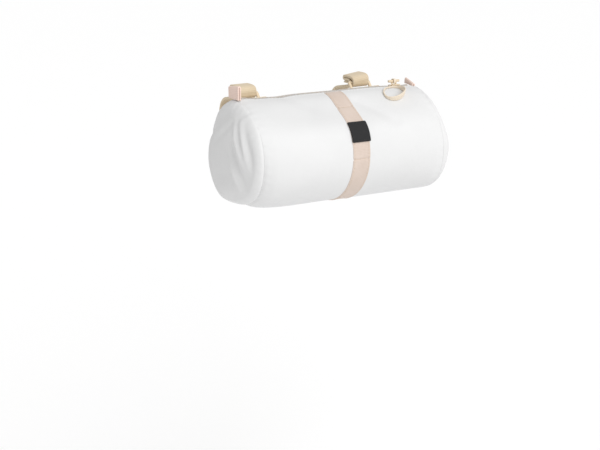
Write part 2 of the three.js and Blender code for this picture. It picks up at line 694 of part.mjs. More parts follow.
// Strap: sewn to the back of the bag, under, behind and over the bar, round the ring's upper bar, and
// back in a bow whose end is folded flat under it
function strapPath(x) {
  const bar = { y: 0, z: 0 };
  const hug = BAR_RADIUS + STRAP_BAR_CLEARANCE + STRAP_THICKNESS / 2;
  const sewn = rollPoints(x, STRAP_SEWN_FROM, STRAP_SEWN_TO, GAP + STRAP_THICKNESS / 2, 4);
  const under = arcPoints(bar, hug, STRAP_MEETS_BAR, STRAP_LEAVES_BAR, 16);
  const { from, to } = STRAP_ROUND_RING;
  const ring = arcPoints(yz(upperBar), barReach + GAP + STRAP_THICKNESS / 2, from, to, 4);
  const { backY, frontY, topZ, pitch } = STRAP_FOLD;
  const backFold = arcPoints({ y: backY, z: topZ - pitch / 2 }, pitch / 2, 90, -90, 6);
  const frontFold = arcPoints({ y: frontY, z: topZ - pitch * 1.5 }, pitch / 2, 90, 270, 6);
  const end = new THREE.Vector2(backY, topZ - pitch * 2);
  const leaveBag = smoothPoints([yz(sewn[4]), ...STRAP_RISE, yz(under[0])], 10);
  const bow = smoothPoints([yz(ring[4]), ...STRAP_BOW, yz(backFold[0])], 16);
  const folds = [...backFold.slice(1), ...frontFold, end];
  return [...sewn.slice(0, 4), ...leaveBag, ...under.slice(1), ...ring.slice(0, 4), ...bow, ...folds];
}

// The roll is fullest under the edge of a strap that is nearest to its middle, so the strap seats there
const seatX = STRAP_X - WEBBING_WIDTH / 2;
for (const [end, x, seat] of [["left", -STRAP_X, -seatX], ["right", STRAP_X, seatX]]) {
  const anchor = ribbonSolid(anchorPath(seat), ANCHOR_THICKNESS, x, WEBBING_WIDTH);
  const strap = ribbonSolid(strapPath(seat), STRAP_THICKNESS, x, WEBBING_WIDTH);
  addPiece(`ring_anchor_${end}`, anchor, FINISHES.strap);
  addPiece(`strap_ring_${end}`, ringSolid(x), FINISHES.plastic);
  addPiece(`bar_strap_${end}`, strap, FINISHES.strap);
}

export default bag;
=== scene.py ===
"""Looks of a soft roll-shaped handlebar bag: fabric roll and ends, zip, webbing band, straps and rings.

Sizes are in millimetres and go into the meshes as metres. X runs along the roll, Y back from its front, and
Z up. A turn round the roll is in degrees, from 0 at the top over 90 in front.
"""

import bpy
import numpy as np
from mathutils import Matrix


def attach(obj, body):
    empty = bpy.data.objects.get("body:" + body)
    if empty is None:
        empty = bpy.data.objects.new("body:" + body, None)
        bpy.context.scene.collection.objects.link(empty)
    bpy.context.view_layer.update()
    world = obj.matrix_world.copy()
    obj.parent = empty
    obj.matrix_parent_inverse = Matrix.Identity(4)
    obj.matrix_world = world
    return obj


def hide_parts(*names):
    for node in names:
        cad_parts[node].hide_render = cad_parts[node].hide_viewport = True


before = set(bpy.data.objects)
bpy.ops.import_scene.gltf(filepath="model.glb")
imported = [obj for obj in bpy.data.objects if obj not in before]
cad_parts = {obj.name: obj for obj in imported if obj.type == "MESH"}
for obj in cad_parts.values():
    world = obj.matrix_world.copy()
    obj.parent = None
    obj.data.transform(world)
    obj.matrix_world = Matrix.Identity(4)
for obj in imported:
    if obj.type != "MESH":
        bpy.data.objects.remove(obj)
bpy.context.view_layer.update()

# Roll: one panel of white coated polyester, bent round to a tube that is open along the zip.
# Its long edges are turned under and topstitched beside the zip, and its round edges are sewn to the ends.
MM = 0.001
ROLL_AXIS_Y = -74.0
ROLL_AXIS_Z = -27.0
SEAM_X = 104.0
MIDDLE_RADIUS = 54.4
PANEL_THICKNESS = 2.0
# Sections along the roll: outer radius, lift of the axis, and how far the slack upper front is flattened
ROLL_SECTIONS = {
    "x": (-104, -92, -60, 0, 60, 92, 104),
    "radius": (49.5, 52.4, 53.6, 54.4, 55.2, 54.7, 53.2),
    "lift": (4.2, 2.8, 1.8, 0.6, -0.8, -2.4, -4),
    "flat": (0.5, 1.6, 3.6, 5, 3.6, 1.6, 0.5),
}
FLAT_TURN = 33
FLAT_SPREAD = 34
# Soft dents in the slack upper front: half width, depth, and two ends by place and turn
ROLL_DENTS = (
    (7, 1.8, (21, 22, 47, 56)),
    (9, 1.2, (-58, 0, -38, 22)),
    (7, 0.6, (84, 20, 97, 48)),
    (2.2, 0.6, (-103.2, 4, -103.6, 26)),
)
# Where the fabric stands up round the ends of the zip, and where it swells or sags along the end seams: place
# along the roll and turn round it, reach both ways, and height
ROLL_RISES = (
    (-104, -8, 14, 22, 3.2),
    (104, -8, 9, 22, 3.4),
    (104, 62, 18, 28, -1.8),
    (104, 130, 26, 24, 2.6),
    (104, 176, 30, 24, -2),
    (-104, 176, 26, 30, -1.5),
)
# Slight unevenness: its height, the lengths of roll that its two waves take for one radian, and in radians
# how far the first sways round the roll and the second is shifted
UNEVEN_HEIGHT = 0.25
UNEVEN_SHORT = 19
UNEVEN_LONG = 41
UNEVEN_SWAY = 1.4
UNEVEN_SHIFT = 0.5
ZIP_TURN = -7.5
ZIP_SLOT = 9.6
LIP_ROUND = 1.0
LIP_EDGE = 0.02
HEM_WIDTH = 5.0
HEM_RISE = 0.5
HEM_SOFTNESS = 0.35
HEM_STITCH = 4.2
HEM_GROOVE = {"depth": 0.3, "width": 0.7}
HEM_PUCKER = {"height": 0.08, "pitch": 4, "beside": 0.8, "width": 1.2}
SEAM_GATHER = {"height": 0.16, "pitch": 9, "sway": 1.3, "sway_length": 23, "inside": 3, "width": 4}
LEFT_SEAM_DIP = 1.3
RIGHT_SEAM_DIP = 0.1
SEAM_WIDTH = 1.6
# The left seam lies slack over the top, where its valley keeps this share of its depth, and tightens in front
SLACK_SHARE = 0.15
SLACK_TO = 55
TIGHT_FROM = 125


def along_roll(column, x):
    """Column of ROLL_SECTIONS at x: the cubic curve whose slope at a row is that of its neighbours' chord."""
    places = np.array(ROLL_SECTIONS["x"], float)
    values = np.array(ROLL_SECTIONS[column], float)
    rows = np.arange(len(places))
    before = np.maximum(rows - 1, 0)
    after = np.minimum(rows + 1, len(places) - 1)
    slopes = (values[after] - values[before]) / (places[after] - places[before])
    right = np.clip(np.searchsorted(places, x), 1, len(places) - 1)
    left = right - 1
    span = places[right] - places[left]
    t = np.clip((x - places[left]) / span, 0, 1)
    leave = slopes[left] * span * t * (1 - t) ** 2
    arrive = slopes[right] * span * t * t * (t - 1)
    return values[left] + (values[right] - values[left]) * t * t * (3 - 2 * t) + leave + arrive


def from_line(p, q, ends):
    """Distance of the points (p, q) from the straight line between two ends."""
    p1, q1, p2, q2 = ends
    along = ((p - p1) * (p2 - p1) + (q - q1) * (q2 - q1)) / ((p2 - p1) ** 2 + (q2 - q1) ** 2)
    held = np.clip(along, 0, 1)
    return np.hypot(p - p1 - held * (p2 - p1), q - q1 - held * (q2 - q1))


def bell(distance, width):
    """Fold across its line: one on the line, falling as exp(-(distance / width) squared)."""
    return np.exp(-((distance / width) ** 2))


def smoothstep(value, low, high):
    """Smooth step from zero at low to one at high: 3 t squared less 2 t cubed."""
    t = np.clip((value - low) / (high - low), 0, 1)
    return t * t * (3 - 2 * t)


def turn_between(start, end):
    """Turn from one place round the roll to another the shorter way, from -180 to 180."""
    return (end - start + 180) % 360 - 180


def seam_dip(x, turn):
    """Depth of the valley at an end seam: even on the right, and growing from the top down on the left."""
    from_top = np.abs(turn_between(0, turn))
    left = LEFT_SEAM_DIP * (SLACK_SHARE + (1 - SLACK_SHARE) * smoothstep(from_top, SLACK_TO, TIGHT_FROM))
    return np.where(x < 0, left, RIGHT_SEAM_DIP)


def roll_radius(x, turn):
    """Radius of the roll: its section at x, less the slack upper front and the dents, plus the rises and the
    product of two slow waves, two and three to the turn."""
    radius = along_roll("radius", x)
    turn = turn_between(0, turn)
    away = np.clip((turn - FLAT_TURN) / FLAT_SPREAD, -1, 1)
    radius = radius - along_roll("flat", x) * np.cos(away * np.pi / 2) ** 2
    for width, depth, (x1, turn1, x2, turn2) in ROLL_DENTS:
        distance = from_line(x, arc_of(turn), (x1, arc_of(turn1), x2, arc_of(turn2)))
        radius = radius - depth * bell(distance, width)
    for rise_x, rise_turn, reach, spread, height in ROLL_RISES:
        radius = radius + height * bell(x - rise_x, reach) * bell(turn_between(rise_turn, turn), spread)
    angle = np.radians(turn)
    sway = UNEVEN_SWAY * np.sin(2 * angle)
    uneven = np.sin(x / UNEVEN_SHORT + sway) * np.sin(3 * angle + UNEVEN_SHIFT + x / UNEVEN_LONG)
    return radius + UNEVEN_HEIGHT * uneven


def points_of(x, y, z):
    """Points from three coordinates, spread over each other's indices."""
    return np.stack(np.broadcast_arrays(x, y, z), axis=-1)


def on_roll(x, turn, height):
    """Point at a place along the roll, a turn round it from the top over the front, and a height above its
    outer face: the axis plus the radius at that turn."""
    x = np.asarray(x, float)
    radius = roll_radius(x, turn) + height
    angle = np.radians(turn)
    y = ROLL_AXIS_Y - radius * np.sin(angle)
    z = ROLL_AXIS_Z + along_roll("lift", x) + radius * np.cos(angle)
    return points_of(x, y, z)


def turn_of(length):
    """Turn that an arc of this length takes on the roll."""
    return np.degrees(length / MIDDLE_RADIUS)


def arc_of(turn):
    """Length on the roll that a turn takes."""
    return np.radians(turn) * MIDDLE_RADIUS


def facing_out(points, faces):
    """Whether a closed skin's faces point outwards, by the sign of the volume that they hold."""
    a, b, c, d = (points[faces[:, corner]] for corner in range(4))
    return (a * (np.cross(b, c) + np.cross(c, d))).sum() > 0


def swept(loops, closed=False):
    """Skin over a closed profile (first index) carried along a path (second index), a four-sided face between
    neighbours both ways. The path joins itself, or strips across the profile close its two ends."""
    around, along = loops.shape[:2]
    number = np.arange(around * along).reshape(around, along)
    i, j = np.meshgrid(np.arange(around), np.arange(along if closed else along - 1), indexing="ij")
    corner_i = np.stack([i, i + 1, i + 1, i], axis=-1).reshape(-1, 4)
    corner_j = np.stack([j, j, j + 1, j + 1], axis=-1).reshape(-1, 4)
    faces = number[corner_i % around, corner_j % along]
    steps_round = np.linalg.norm(np.roll(loops, -1, axis=0) - loops, axis=2).mean(axis=1)
    steps_along = np.linalg.norm(np.roll(loops, -1, axis=1) - loops, axis=2).mean(axis=0)
    u = np.r_[0, np.cumsum(steps_round)]
    v = np.r_[0, np.cumsum(steps_along)]
    places = np.stack([u[corner_i], v[corner_j]], axis=-1)
    if not closed:
        half = np.arange(around // 2 - 1)
        strip = np.stack([half, half + 1, around - 2 - half, around - 1 - half], axis=-1)
        faces = np.concatenate([faces, number[strip[:, ::-1], 0], number[strip, along - 1]])
        strip_places = np.stack([u[strip], np.broadcast_to(v[0], strip.shape)], axis=-1)
        places = np.concatenate([places, strip_places[:, ::-1], strip_places])
    points = loops.reshape(-1, 3)
    if facing_out(points, faces):
        return points, faces, places
    return points, faces[:, ::-1], places[:, ::-1]


def add_object(name, data):
    """Puts an object with its data at the scene's origin."""
    thing = bpy.data.objects.new(name, data)
    bpy.context.scene.collection.objects.link(thing)
    return thing


def make_piece(name, parts, material, slot, *nodes, crease=50):
    """Puts parts of (points, four-sided faces, pattern places) into one mesh, in metres, on the bag."""
    starts = np.cumsum([0] + [len(points) for points, _, _ in parts])
    points = np.concatenate([part[0] for part in parts]) * MM
    faces = np.concatenate([part[1] + start for part, start in zip(parts, starts)])
    places = np.concatenate([part[2] for part in parts]) * MM
    mesh = bpy.data.meshes.new(name)
    mesh.from_pydata(points, [], faces)
    mesh.uv_layers.new(name="weave").data.foreach_set("uv", places.astype(np.float32).ravel())
    mesh.shade_smooth()
    mesh.set_sharp_from_angle(angle=np.radians(crease))
    mesh.materials.append(material)
    piece = add_object(name, mesh)
    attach(piece, "root")
    if nodes:
        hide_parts(*nodes)
    return piece


def colour(code):
    """Linear colour of an sRGB hex value."""
    parts = np.array([int(code[i:i + 2], 16) for i in (0, 2, 4)]) / 255
    linear = np.where(parts <= 0.04045, parts / 12.92, ((parts + 0.055) / 1.055) ** 2.4)
    return (*linear.tolist(), 1.0)


def new_material(name):
    """Starts a material that is made of nodes."""
    material = bpy.data.materials.new(name)
    material.use_nodes = True
    return material


def set_sockets(material, node, sockets):
    """Fills a node's sockets: each takes a value, or the output that feeds it."""
    for key, value in sockets.items():
        if isinstance(value, bpy.types.NodeSocket):
            material.node_tree.links.new(value, node.inputs[key])
        else:
            node.inputs[key].default_value = value


def add_node(material, kind, sockets, **settings):
    """Adds one shader node with its settings and sockets."""
    node = material.node_tree.nodes.new("ShaderNode" + kind)
    for key, value in settings.items():
        setattr(node, key, value)
    set_sockets(material, node, sockets)
    return node


def finish_shader(material, sockets):
    """Fills the sockets of the material's shader."""
    set_sockets(material, material.node_tree.nodes["Principled BSDF"], sockets)


# A wave's period is this length over its scale
WAVE_PERIOD = 0.314


def woven(name, waves, dark, light, strength, depth, shader, patches=None, coated=False, crumple=None):
    """Woven material: waves of threads by direction, pitch and distortion, multiplied where two cross, raise
    the surface to a depth and mix two tones. Patches of a size shift the mix, or make it alone under a coat.
    A crumple of size, strength and depth bends the whole."""
    material = new_material(name)
    place = add_node(material, "TexCoord", {})
    threads = [
        add_node(
            material,
            "TexWave",
            {"Vector": place.outputs["UV"], "Scale": WAVE_PERIOD / (pitch * MM), "Distortion": distortion},
            bands_direction=direction,
        ).outputs["Fac"]
        for direction, pitch, distortion in waves
    ]
    weave = threads[0]
    if len(threads) == 2:
        weave = add_node(material, "Math", dict(enumerate(threads)), operation="MULTIPLY").outputs["Value"]
    tone = weave
    if patches:
        sockets = {"Vector": place.outputs["Object"], "Scale": 1 / (patches * MM), "Detail": 3.0}
        tone = add_node(material, "TexNoise", sockets).outputs["Fac"]
        if not coated:
            tone = add_node(material, "Math", {0: weave, 1: tone}, operation="ADD").outputs["Value"]
    tones = add_node(material, "Mix", {0: tone, 6: colour(dark), 7: colour(light)}, data_type="RGBA")
    relief = add_node(material, "Bump", {"Height": weave, "Strength": strength, "Distance": depth * MM})
    if crumple:
        size, push, reach = crumple
        sockets = {"Vector": place.outputs["Object"], "Scale": 1 / (size * MM), "Detail": 2.0}
        crease = add_node(material, "TexNoise", sockets).outputs["Fac"]
        sockets = {"Height": crease, "Strength": push, "Distance": reach * MM}
        relief = add_node(material, "Bump", {**sockets, "Normal": relief.outputs["Normal"]})
    finish_shader(material, {"Base Color": tones.outputs[2], "Normal": relief.outputs["Normal"], **shader})
    return material


# Coated polyester: a plain weave under a matt film, so it is white with a soft sheen, faintly uneven in tone,
# and shows its threads only close by. The 0.4 mm threads are drawn 1.1 mm apart to show at all.
coated_polyester = woven(
    "coated_polyester",
    [("X", 1.1, 0.4), ("Y", 1.1, 0.4)],
    "d5d5d5",
    "dcdcdc",
    strength=0.12,
    depth=0.15,
    shader={"Roughness": 0.58, "IOR": 1.47, "Sheen Weight": 0.08, "Sheen Roughness": 0.5},
    patches=45,
    coated=True,
    crumple=(14, 0.25, 0.8),
)

lip_half = turn_of(ZIP_SLOT / 2)
front_lip = ZIP_TURN + lip_half
back_lip = 360 + ZIP_TURN - lip_half


def panel_height(x, turn):
    """Height of the panel's outer face over the plain roll: the hem's double thickness beside the zip with a
    groove under its stitches, and the dip with fine puckers where the panel runs into the end seams."""
    from_lip = arc_of(np.minimum(turn - front_lip, back_lip - turn))
    hem = HEM_RISE / (1 + np.exp((from_lip - HEM_WIDTH) / HEM_SOFTNESS))
    groove = HEM_GROOVE["depth"] * bell(from_lip - HEM_STITCH, HEM_GROOVE["width"])
    pucker = HEM_PUCKER["height"] * np.sin(2 * np.pi * x / HEM_PUCKER["pitch"])
    pucker = pucker * bell(from_lip - HEM_STITCH - HEM_PUCKER["beside"], HEM_PUCKER["width"])
    from_seam = SEAM_X - np.abs(x)
    arc = arc_of(turn)
    sway = SEAM_GATHER["sway"] * np.sin(arc / SEAM_GATHER["sway_length"])
    gather = SEAM_GATHER["height"] * np.sin(2 * np.pi * arc / SEAM_GATHER["pitch"] + sway)
    gather = gather * bell(from_seam - SEAM_GATHER["inside"], SEAM_GATHER["width"])
    return hem - groove + pucker + gather - seam_dip(x, turn) * bell(from_seam, SEAM_WIDTH)


# The panel is drawn at these distances from the slot's lips and from the end seams, close where it bends, and
# at so many even places between them
ROLL_STEPS_ROUND = 180
ROLL_STEPS_ALONG = 124
lip_steps = np.array([0, 0.03, 0.14, 0.33, 0.6, 1.0, 1.5, 2.1, 2.7, 3.3, 3.8, 4.2, 4.6, 5, 5.4, 6, 7])
seam_steps = np.array([0, 0.5, 1, 1.6, 2.3, 3.2, 4.4, 6])
lip_turn = turn_of(lip_steps)
middle_turn = np.linspace(front_lip + lip_turn[-1], back_lip - lip_turn[-1], ROLL_STEPS_ROUND)[1:-1]
panel_turn = np.r_[front_lip + lip_turn, middle_turn, (back_lip - lip_turn)[::-1]]
middle_x = np.linspace(-SEAM_X + seam_steps[-1], SEAM_X - seam_steps[-1], ROLL_STEPS_ALONG)[1:-1]
panel_x = np.r_[-SEAM_X + seam_steps, middle_x, (SEAM_X - seam_steps)[::-1]]
lip_distance = arc_of(np.minimum(panel_turn - front_lip, back_lip - panel_turn))
lip_fall = LIP_ROUND * (1 - np.sqrt(1 - (1 - np.clip(lip_distance / LIP_ROUND, 0, 1)) ** 2))
outer_height = panel_height(panel_x[None, :], panel_turn[:, None]) - lip_fall[:, None]
inner_height = lip_fall[:, None] - PANEL_THICKNESS - LIP_EDGE
roll_outer = on_roll(panel_x[None, :], panel_turn[:, None], outer_height)
roll_inner = on_roll(panel_x[None, :], panel_turn[:, None], inner_height)
roll_panel = make_piece(
    "roll_panel",
    [swept(np.concatenate([roll_outer, roll_inner[::-1]]))],
    coated_polyester,
    "fabric",
    "barrel_shell",
    crease=80,
)

# Ends: two round panels of the same fabric, eased over a soft shoulder and sewn to the roll, seam inside.
# The left one has slack: its top hangs as a flap over a crease, and a fan of folds runs down from its front.
SEAM_GAP = 0.3
SHOULDER = 6.0
FACE_SHARE = 0.82
END_THICKNESS = 1.6
END_GRID_STEPS = 151
# Over the upper front a shoulder is wider by its soft_shoulder
SOFT_TURN = 25
SOFT_SPREAD = 50
# Share of the way out from the middle at which a proud place begins
PROUD_FROM = 0.3
END_GATHER = {"height": 0.25, "count": 38, "sway": 1.5, "sways": 5, "share": 0.93, "width": 0.05}
CREASE_BACK = (52, 14)
CREASE_FRONT = (-18, 45)
CREASE_SOFTNESS = 11
# Proud places of the shoulder are (turn, spread, height). Bulge and flap are the swell below and above the
# crease. Folds are (half width, height, places), with places back and up from the middle of the end.
ENDS = {
    "left": {
        "outward": -1,
        "soft_shoulder": 5,
        "proud": ((190, 28, 4.5), (-28, 17, 2.2)),
        "bulge": 10,
        "flap": 6.5,
        "folds": (
            (2.8, 1.8, ((-10, 41), (-15.5, 30), (-18.6, 20.4), (-25, 9.6), (-30.6, -2), (-34, -10))),
            (2.6, -1.5, ((-14, 42.8), (-19.5, 30.4), (-24.2, 20.9), (-28, 13), (-32.4, 4))),
            (3, 1.7, ((-18.6, 42.8), (-24, 31), (-29.4, 19), (-33.4, 9.6), (-36.2, 0.6), (-38, -10))),
            (3.4, -2, ((-22, 43), (-28, 31.4), (-32.4, 22.2), (-37.2, 11.5), (-40.6, -0.6), (-41, -14))),
            (8, -2.6, ((-28, 40), (-36, 26), (-42, 10), (-44, -6), (-42, -22))),
            (3.6, -2.2, ((-8, 24), (-10, 18), (-13.5, 9), (-18.5, 0.8), (-23.6, -8), (-28, -18), (-30, -28))),
            (3.2, 2.1, ((-6, 4), (-12.5, -5.9), (-16.6, -13), (-20.4, -22.9), (-23, -33))),
            (7, -1.4, ((-28, 0), (-34, -12), (-33, -24), (-26, -36))),
            (3, -0.9, ((30, 6), (10, 18.5), (-2, 26.8), (-12.9, 36.9), (-20, 43))),
            (5, 0.8, ((34, 12), (14, 26), (-4, 36), (-18, 46))),
            (3, -2, ((48, 12), (38, 16), (26, 24))),
            (13, 6, ((46, 12), (36, -10), (18, -34), (-6, -46))),
        ),
    },
    "right": {
        "outward": 1,
        "soft_shoulder": 0,
        "proud": ((92, 27, 3.8),),
        "bulge": 6,
        "flap": 4,
        "folds": (
            (6, -1.2, ((2, 44), (4, 22), (0, -4), (-8, -32))),
            (6, 1, ((-14, 42), (-20, 20), (-24, 0), (-26, -22))),
            (7, 1, ((22, 38), (28, 16), (26, -8), (16, -30))),
        ),
    },
}


def smooth_line(places, steps):
    """Uniform Catmull-Rom curve through the places, read at even parameters."""
    places = np.asarray(places, float)
    last = len(places) - 1
    t = np.linspace(0, last, steps + 1)
    k = np.minimum(t.astype(int), last - 1)
    w = (t - k)[:, None]
    before, here, there, beyond = (places[np.clip(k + step, 0, last)] for step in (-1, 0, 1, 2))
    curve = 2 * here + (there - before) * w
    curve = curve + (2 * before - 5 * here + 4 * there - beyond) * w ** 2
    curve = curve + (3 * here - before - 3 * there + beyond) * w ** 3
    return curve / 2


def fold_along(p, q, line, width):
    """Fold along a curve through a few places: a bell across it, by the distance to the nearest of its short
    straight pieces, tapering to nothing towards its two ends by the sine of the share of the way along it."""
    curve = smooth_line(line, steps=24)
    piece = np.diff(curve, axis=0)
    from_start = np.stack([p, q], axis=-1)[..., None, :] - curve[:-1]
    along = np.clip((from_start * piece).sum(axis=-1) / (piece**2).sum(axis=-1), 0, 1)
    apart = np.linalg.norm(from_start - along[..., None] * piece, axis=-1)
    nearest = apart.argmin(axis=-1)[..., None]
    way = (nearest + np.take_along_axis(along, nearest, axis=-1))[..., 0] / len(piece)
    return bell(apart.min(axis=-1), width) * np.sin(np.pi * way)


def end_height(end, y, z, share):
    """Height of an end's face over its shoulder: the flap above the crease and the fuller belly below it,
    times one less the cube of the share of the way out, and the folds, times one less its sixth power."""
    above = (z - CREASE_BACK[1]) * (CREASE_BACK[0] - CREASE_FRONT[0])
    above = above + (y - CREASE_BACK[0]) * (CREASE_FRONT[1] - CREASE_BACK[1])
    above = above / np.hypot(CREASE_FRONT[0] - CREASE_BACK[0], CREASE_FRONT[1] - CREASE_BACK[1])
    belly = smoothstep(-above, -CREASE_SOFTNESS / 2, CREASE_SOFTNESS)
    height = (end["flap"] + (end["bulge"] - end["flap"]) * belly) * (1 - share ** 3)
    for width, rise, line in end["folds"]:
        height = height + rise * fold_along(y, z, line, width) * (1 - share ** 6)
    return height


def end_surface(end):
    """Round panel: a square grid drawn onto a disc (y = a sqrt(1 - b b / 2), z = b sqrt(1 - a a / 2)), raised
    by its face, proud places and gathers, and turned down to the seam in a quarter of an ellipse."""
    outward = end["outward"]
    steps = np.linspace(-1, 1, END_GRID_STEPS)
    a, b = np.meshgrid(steps, steps, indexing="ij")
    disc_y = a * np.sqrt(1 - b * b / 2)
    disc_z = b * np.sqrt(1 - a * a / 2)
    share = np.hypot(disc_y, disc_z)
    turn = np.degrees(np.arctan2(-disc_y, disc_z))
    seam_x = outward * SEAM_X
    rim = roll_radius(np.full_like(turn, seam_x), turn)
    bend = np.radians(90) * np.clip((share - FACE_SHARE) / (1 - FACE_SHARE), 0, 1)
    dip = seam_dip(seam_x, turn) * bell((1 - share) * MIDDLE_RADIUS, SEAM_WIDTH)
    shoulder = SHOULDER + end["soft_shoulder"] * bell(turn - SOFT_TURN, SOFT_SPREAD)
    radius = (rim - shoulder) * np.minimum(share / FACE_SHARE, 1) + shoulder * np.sin(bend) - dip
    angle = np.radians(turn)
    y = -radius * np.sin(angle)
    z = radius * np.cos(angle)
    height = SHOULDER + end_height(end, y, z, np.minimum(radius / rim, 1))
    for proud_turn, spread, rise in end["proud"]:
        proud = bell(turn_between(proud_turn, turn), spread)
        height = height + rise * proud * smoothstep(share, PROUD_FROM, FACE_SHARE)
    gather = np.sin(angle * END_GATHER["count"] + END_GATHER["sway"] * np.sin(angle * END_GATHER["sways"]))
    gather = END_GATHER["height"] * gather * bell(share - END_GATHER["share"], END_GATHER["width"])
    x = seam_x + outward * (height + gather) * np.cos(bend)
    lift = along_roll("lift", seam_x)
    points = points_of(x, ROLL_AXIS_Y + y, ROLL_AXIS_Z + lift + z)
    number = np.arange(a.size).reshape(a.shape)
    faces = np.stack([number[:-1, :-1], number[1:, :-1], number[1:, 1:], number[:-1, 1:]], axis=-1)
    faces = faces.reshape(-1, 4)
    if outward < 0:
        faces = faces[:, ::-1]
    places = np.stack([y, z], axis=-1).reshape(-1, 2)[faces]
    return points.reshape(-1, 3), faces, places


for end_name, end in ENDS.items():
    end_panel = make_piece(
        f"{end_name}_end_panel",
        [end_surface(end)],
        coated_polyester,
        "fabric",
        f"end_panel_{end_name}",
        crease=80,
    )
    wall = end_panel.modifiers.new("wall", "SOLIDIFY")
    wall.thickness = END_THICKNESS * MM
    wall.offset = -1

# Zip: two woven tapes sewn under the hems, each carrying a nylon coil whose turns lock between the other's.
# It is undyed, so it reads as a warm grey strip in the slot along the top of the roll.
ZIP_LENGTH = 205
ZIP_STEPS = 70
TAPE_THICKNESS = 1.1
TAPE_TOP = -0.7
TAPE_NEAR = 0.3
TAPE_FAR = 8.8
TAPE_EDGE = 0.4
# A turn of the coil crosses the zip from its half width to a little past the middle, up an arch and down
COIL_SHORT_OF_END = 2
COIL_BASE = -0.6
COIL_PITCH = 1.5
COIL_WIRE = 0.45
COIL_HALF = 2.7
COIL_PAST_MIDDLE = 0.7
COIL_ARCH = 1.25
COIL_ARCH_FROM = 0.08
COIL_ARCH_TO = 0.88
COIL_SLANT = 0.3


def strip_profile(half_width, thickness, steps, round_edge):
    """Closed profile of a flat strip: places across it and heights over its middle, along its top and back
    along its underside, with edges rounded by the sine and cosine of a few angles."""
    angle = np.radians([80, 62, 42, 20])
    side = np.ones_like(angle)
    base = np.r_[-side, np.linspace(-1, 1, steps), side][:, None]
    edge = np.r_[-np.sin(angle), np.zeros(steps), np.sin(angle)[::-1]][:, None]
    half = np.r_[np.cos(angle), np.ones(steps), np.cos(angle)[::-1]][:, None]
    across = base * (half_width - round_edge) + edge * round_edge
    rise = half * thickness / 2
    return np.concatenate([across, across[::-1]]), np.concatenate([rise, -rise[::-1]])


def strip_on_roll(x, half_width, turns, low, high, steps, round_edge):
    """Flat strip laid along the turns of the roll: its profile, with round edges, at every turn."""
    across, rise = strip_profile(half_width, high - low, steps, round_edge)
    return swept(on_roll(x + across, turns, (low + high) / 2 + rise))


# Zip tape: spun polyester in a fine herringbone, matt and warm white. The 0.5 mm twill is drawn 1.2 mm apart.
zip_tape_weave = woven(
    "polyester_zip_tape",
    [("DIAGONAL", 1.2, 0.8)],
    "d2c8bd",
    "e4dbd2",
    strength=0.4,
    depth=0.2,
    shader={"Roughness": 0.85},
)

# Nylon coil: drawn monofilament, slightly see-through and satin, so it is pale with small highlights.
nylon_coil = new_material("nylon_monofilament")
coil_place = add_node(nylon_coil, "TexCoord", {})
coil_tone = add_node(
    nylon_coil,
    "TexNoise",
    {"Vector": coil_place.outputs["Object"], "Scale": 1 / (2 * MM), "Detail": 2.0},
)
coil_colour = add_node(
    nylon_coil,
    "Mix",
    {0: coil_tone.outputs["Fac"], 6: colour("d6cdc3"), 7: colour("e6dfd7")},
    data_type="RGBA",
)
finish_shader(
    nylon_coil,
    {"Base Color": coil_colour.outputs[2], "Roughness": 0.38, "IOR": 1.53, "Subsurface Weight": 0.1},
)

zip_x = np.linspace(-ZIP_LENGTH / 2, ZIP_LENGTH / 2, ZIP_STEPS)
for tape_name, side in (("front", 1), ("back", -1)):
    tape_half = (TAPE_FAR - TAPE_NEAR) / 2
    across, rise = strip_profile(tape_half, TAPE_THICKNESS, steps=7, round_edge=TAPE_EDGE)
    tape_turn = ZIP_TURN + side * turn_of((TAPE_NEAR + TAPE_FAR) / 2 + across)
    tape_loops = on_roll(zip_x, tape_turn, TAPE_TOP - TAPE_THICKNESS / 2 + rise)
    make_piece(f"{tape_name}_zip_tape", [swept(tape_loops)], zip_tape_weave, "tape", f"zip_tape_{tape_name}")


def tubes(paths, sideways, upright, radii):
    """Many short tubes at once: six points round each path point at its radius, in the plane of the two given
    directions, with both ends closed. Paths run over the first index and their points over the second."""
    count, stations = paths.shape[:2]
    angle = np.radians(np.arange(0, 360, 60))
    ring = np.cos(angle)[:, None] * sideways[..., None, :] + np.sin(angle)[:, None] * upright[..., None, :]
    points = paths[:, :, None, :] + ring * radii[..., None, None]
    number = np.arange(count * stations * 6).reshape(count, stations, 6)
    here = number[:, :-1]
    there = number[:, 1:]
    walls = np.stack([here, np.roll(here, -1, axis=2), np.roll(there, -1, axis=2), there], axis=-1)
    first = number[:, 0]
    last = number[:, -1]
    lids = [first[:, [3, 2, 1, 0]], first[:, [5, 4, 3, 0]], last[:, [0, 1, 2, 3]], last[:, [0, 3, 4, 5]]]
    faces = np.concatenate([walls.reshape(-1, 4), *lids])
    points = points.reshape(-1, 3)
    faces = faces if facing_out(points, faces) else faces[:, ::-1]
    return points, faces, points[faces][..., :2]


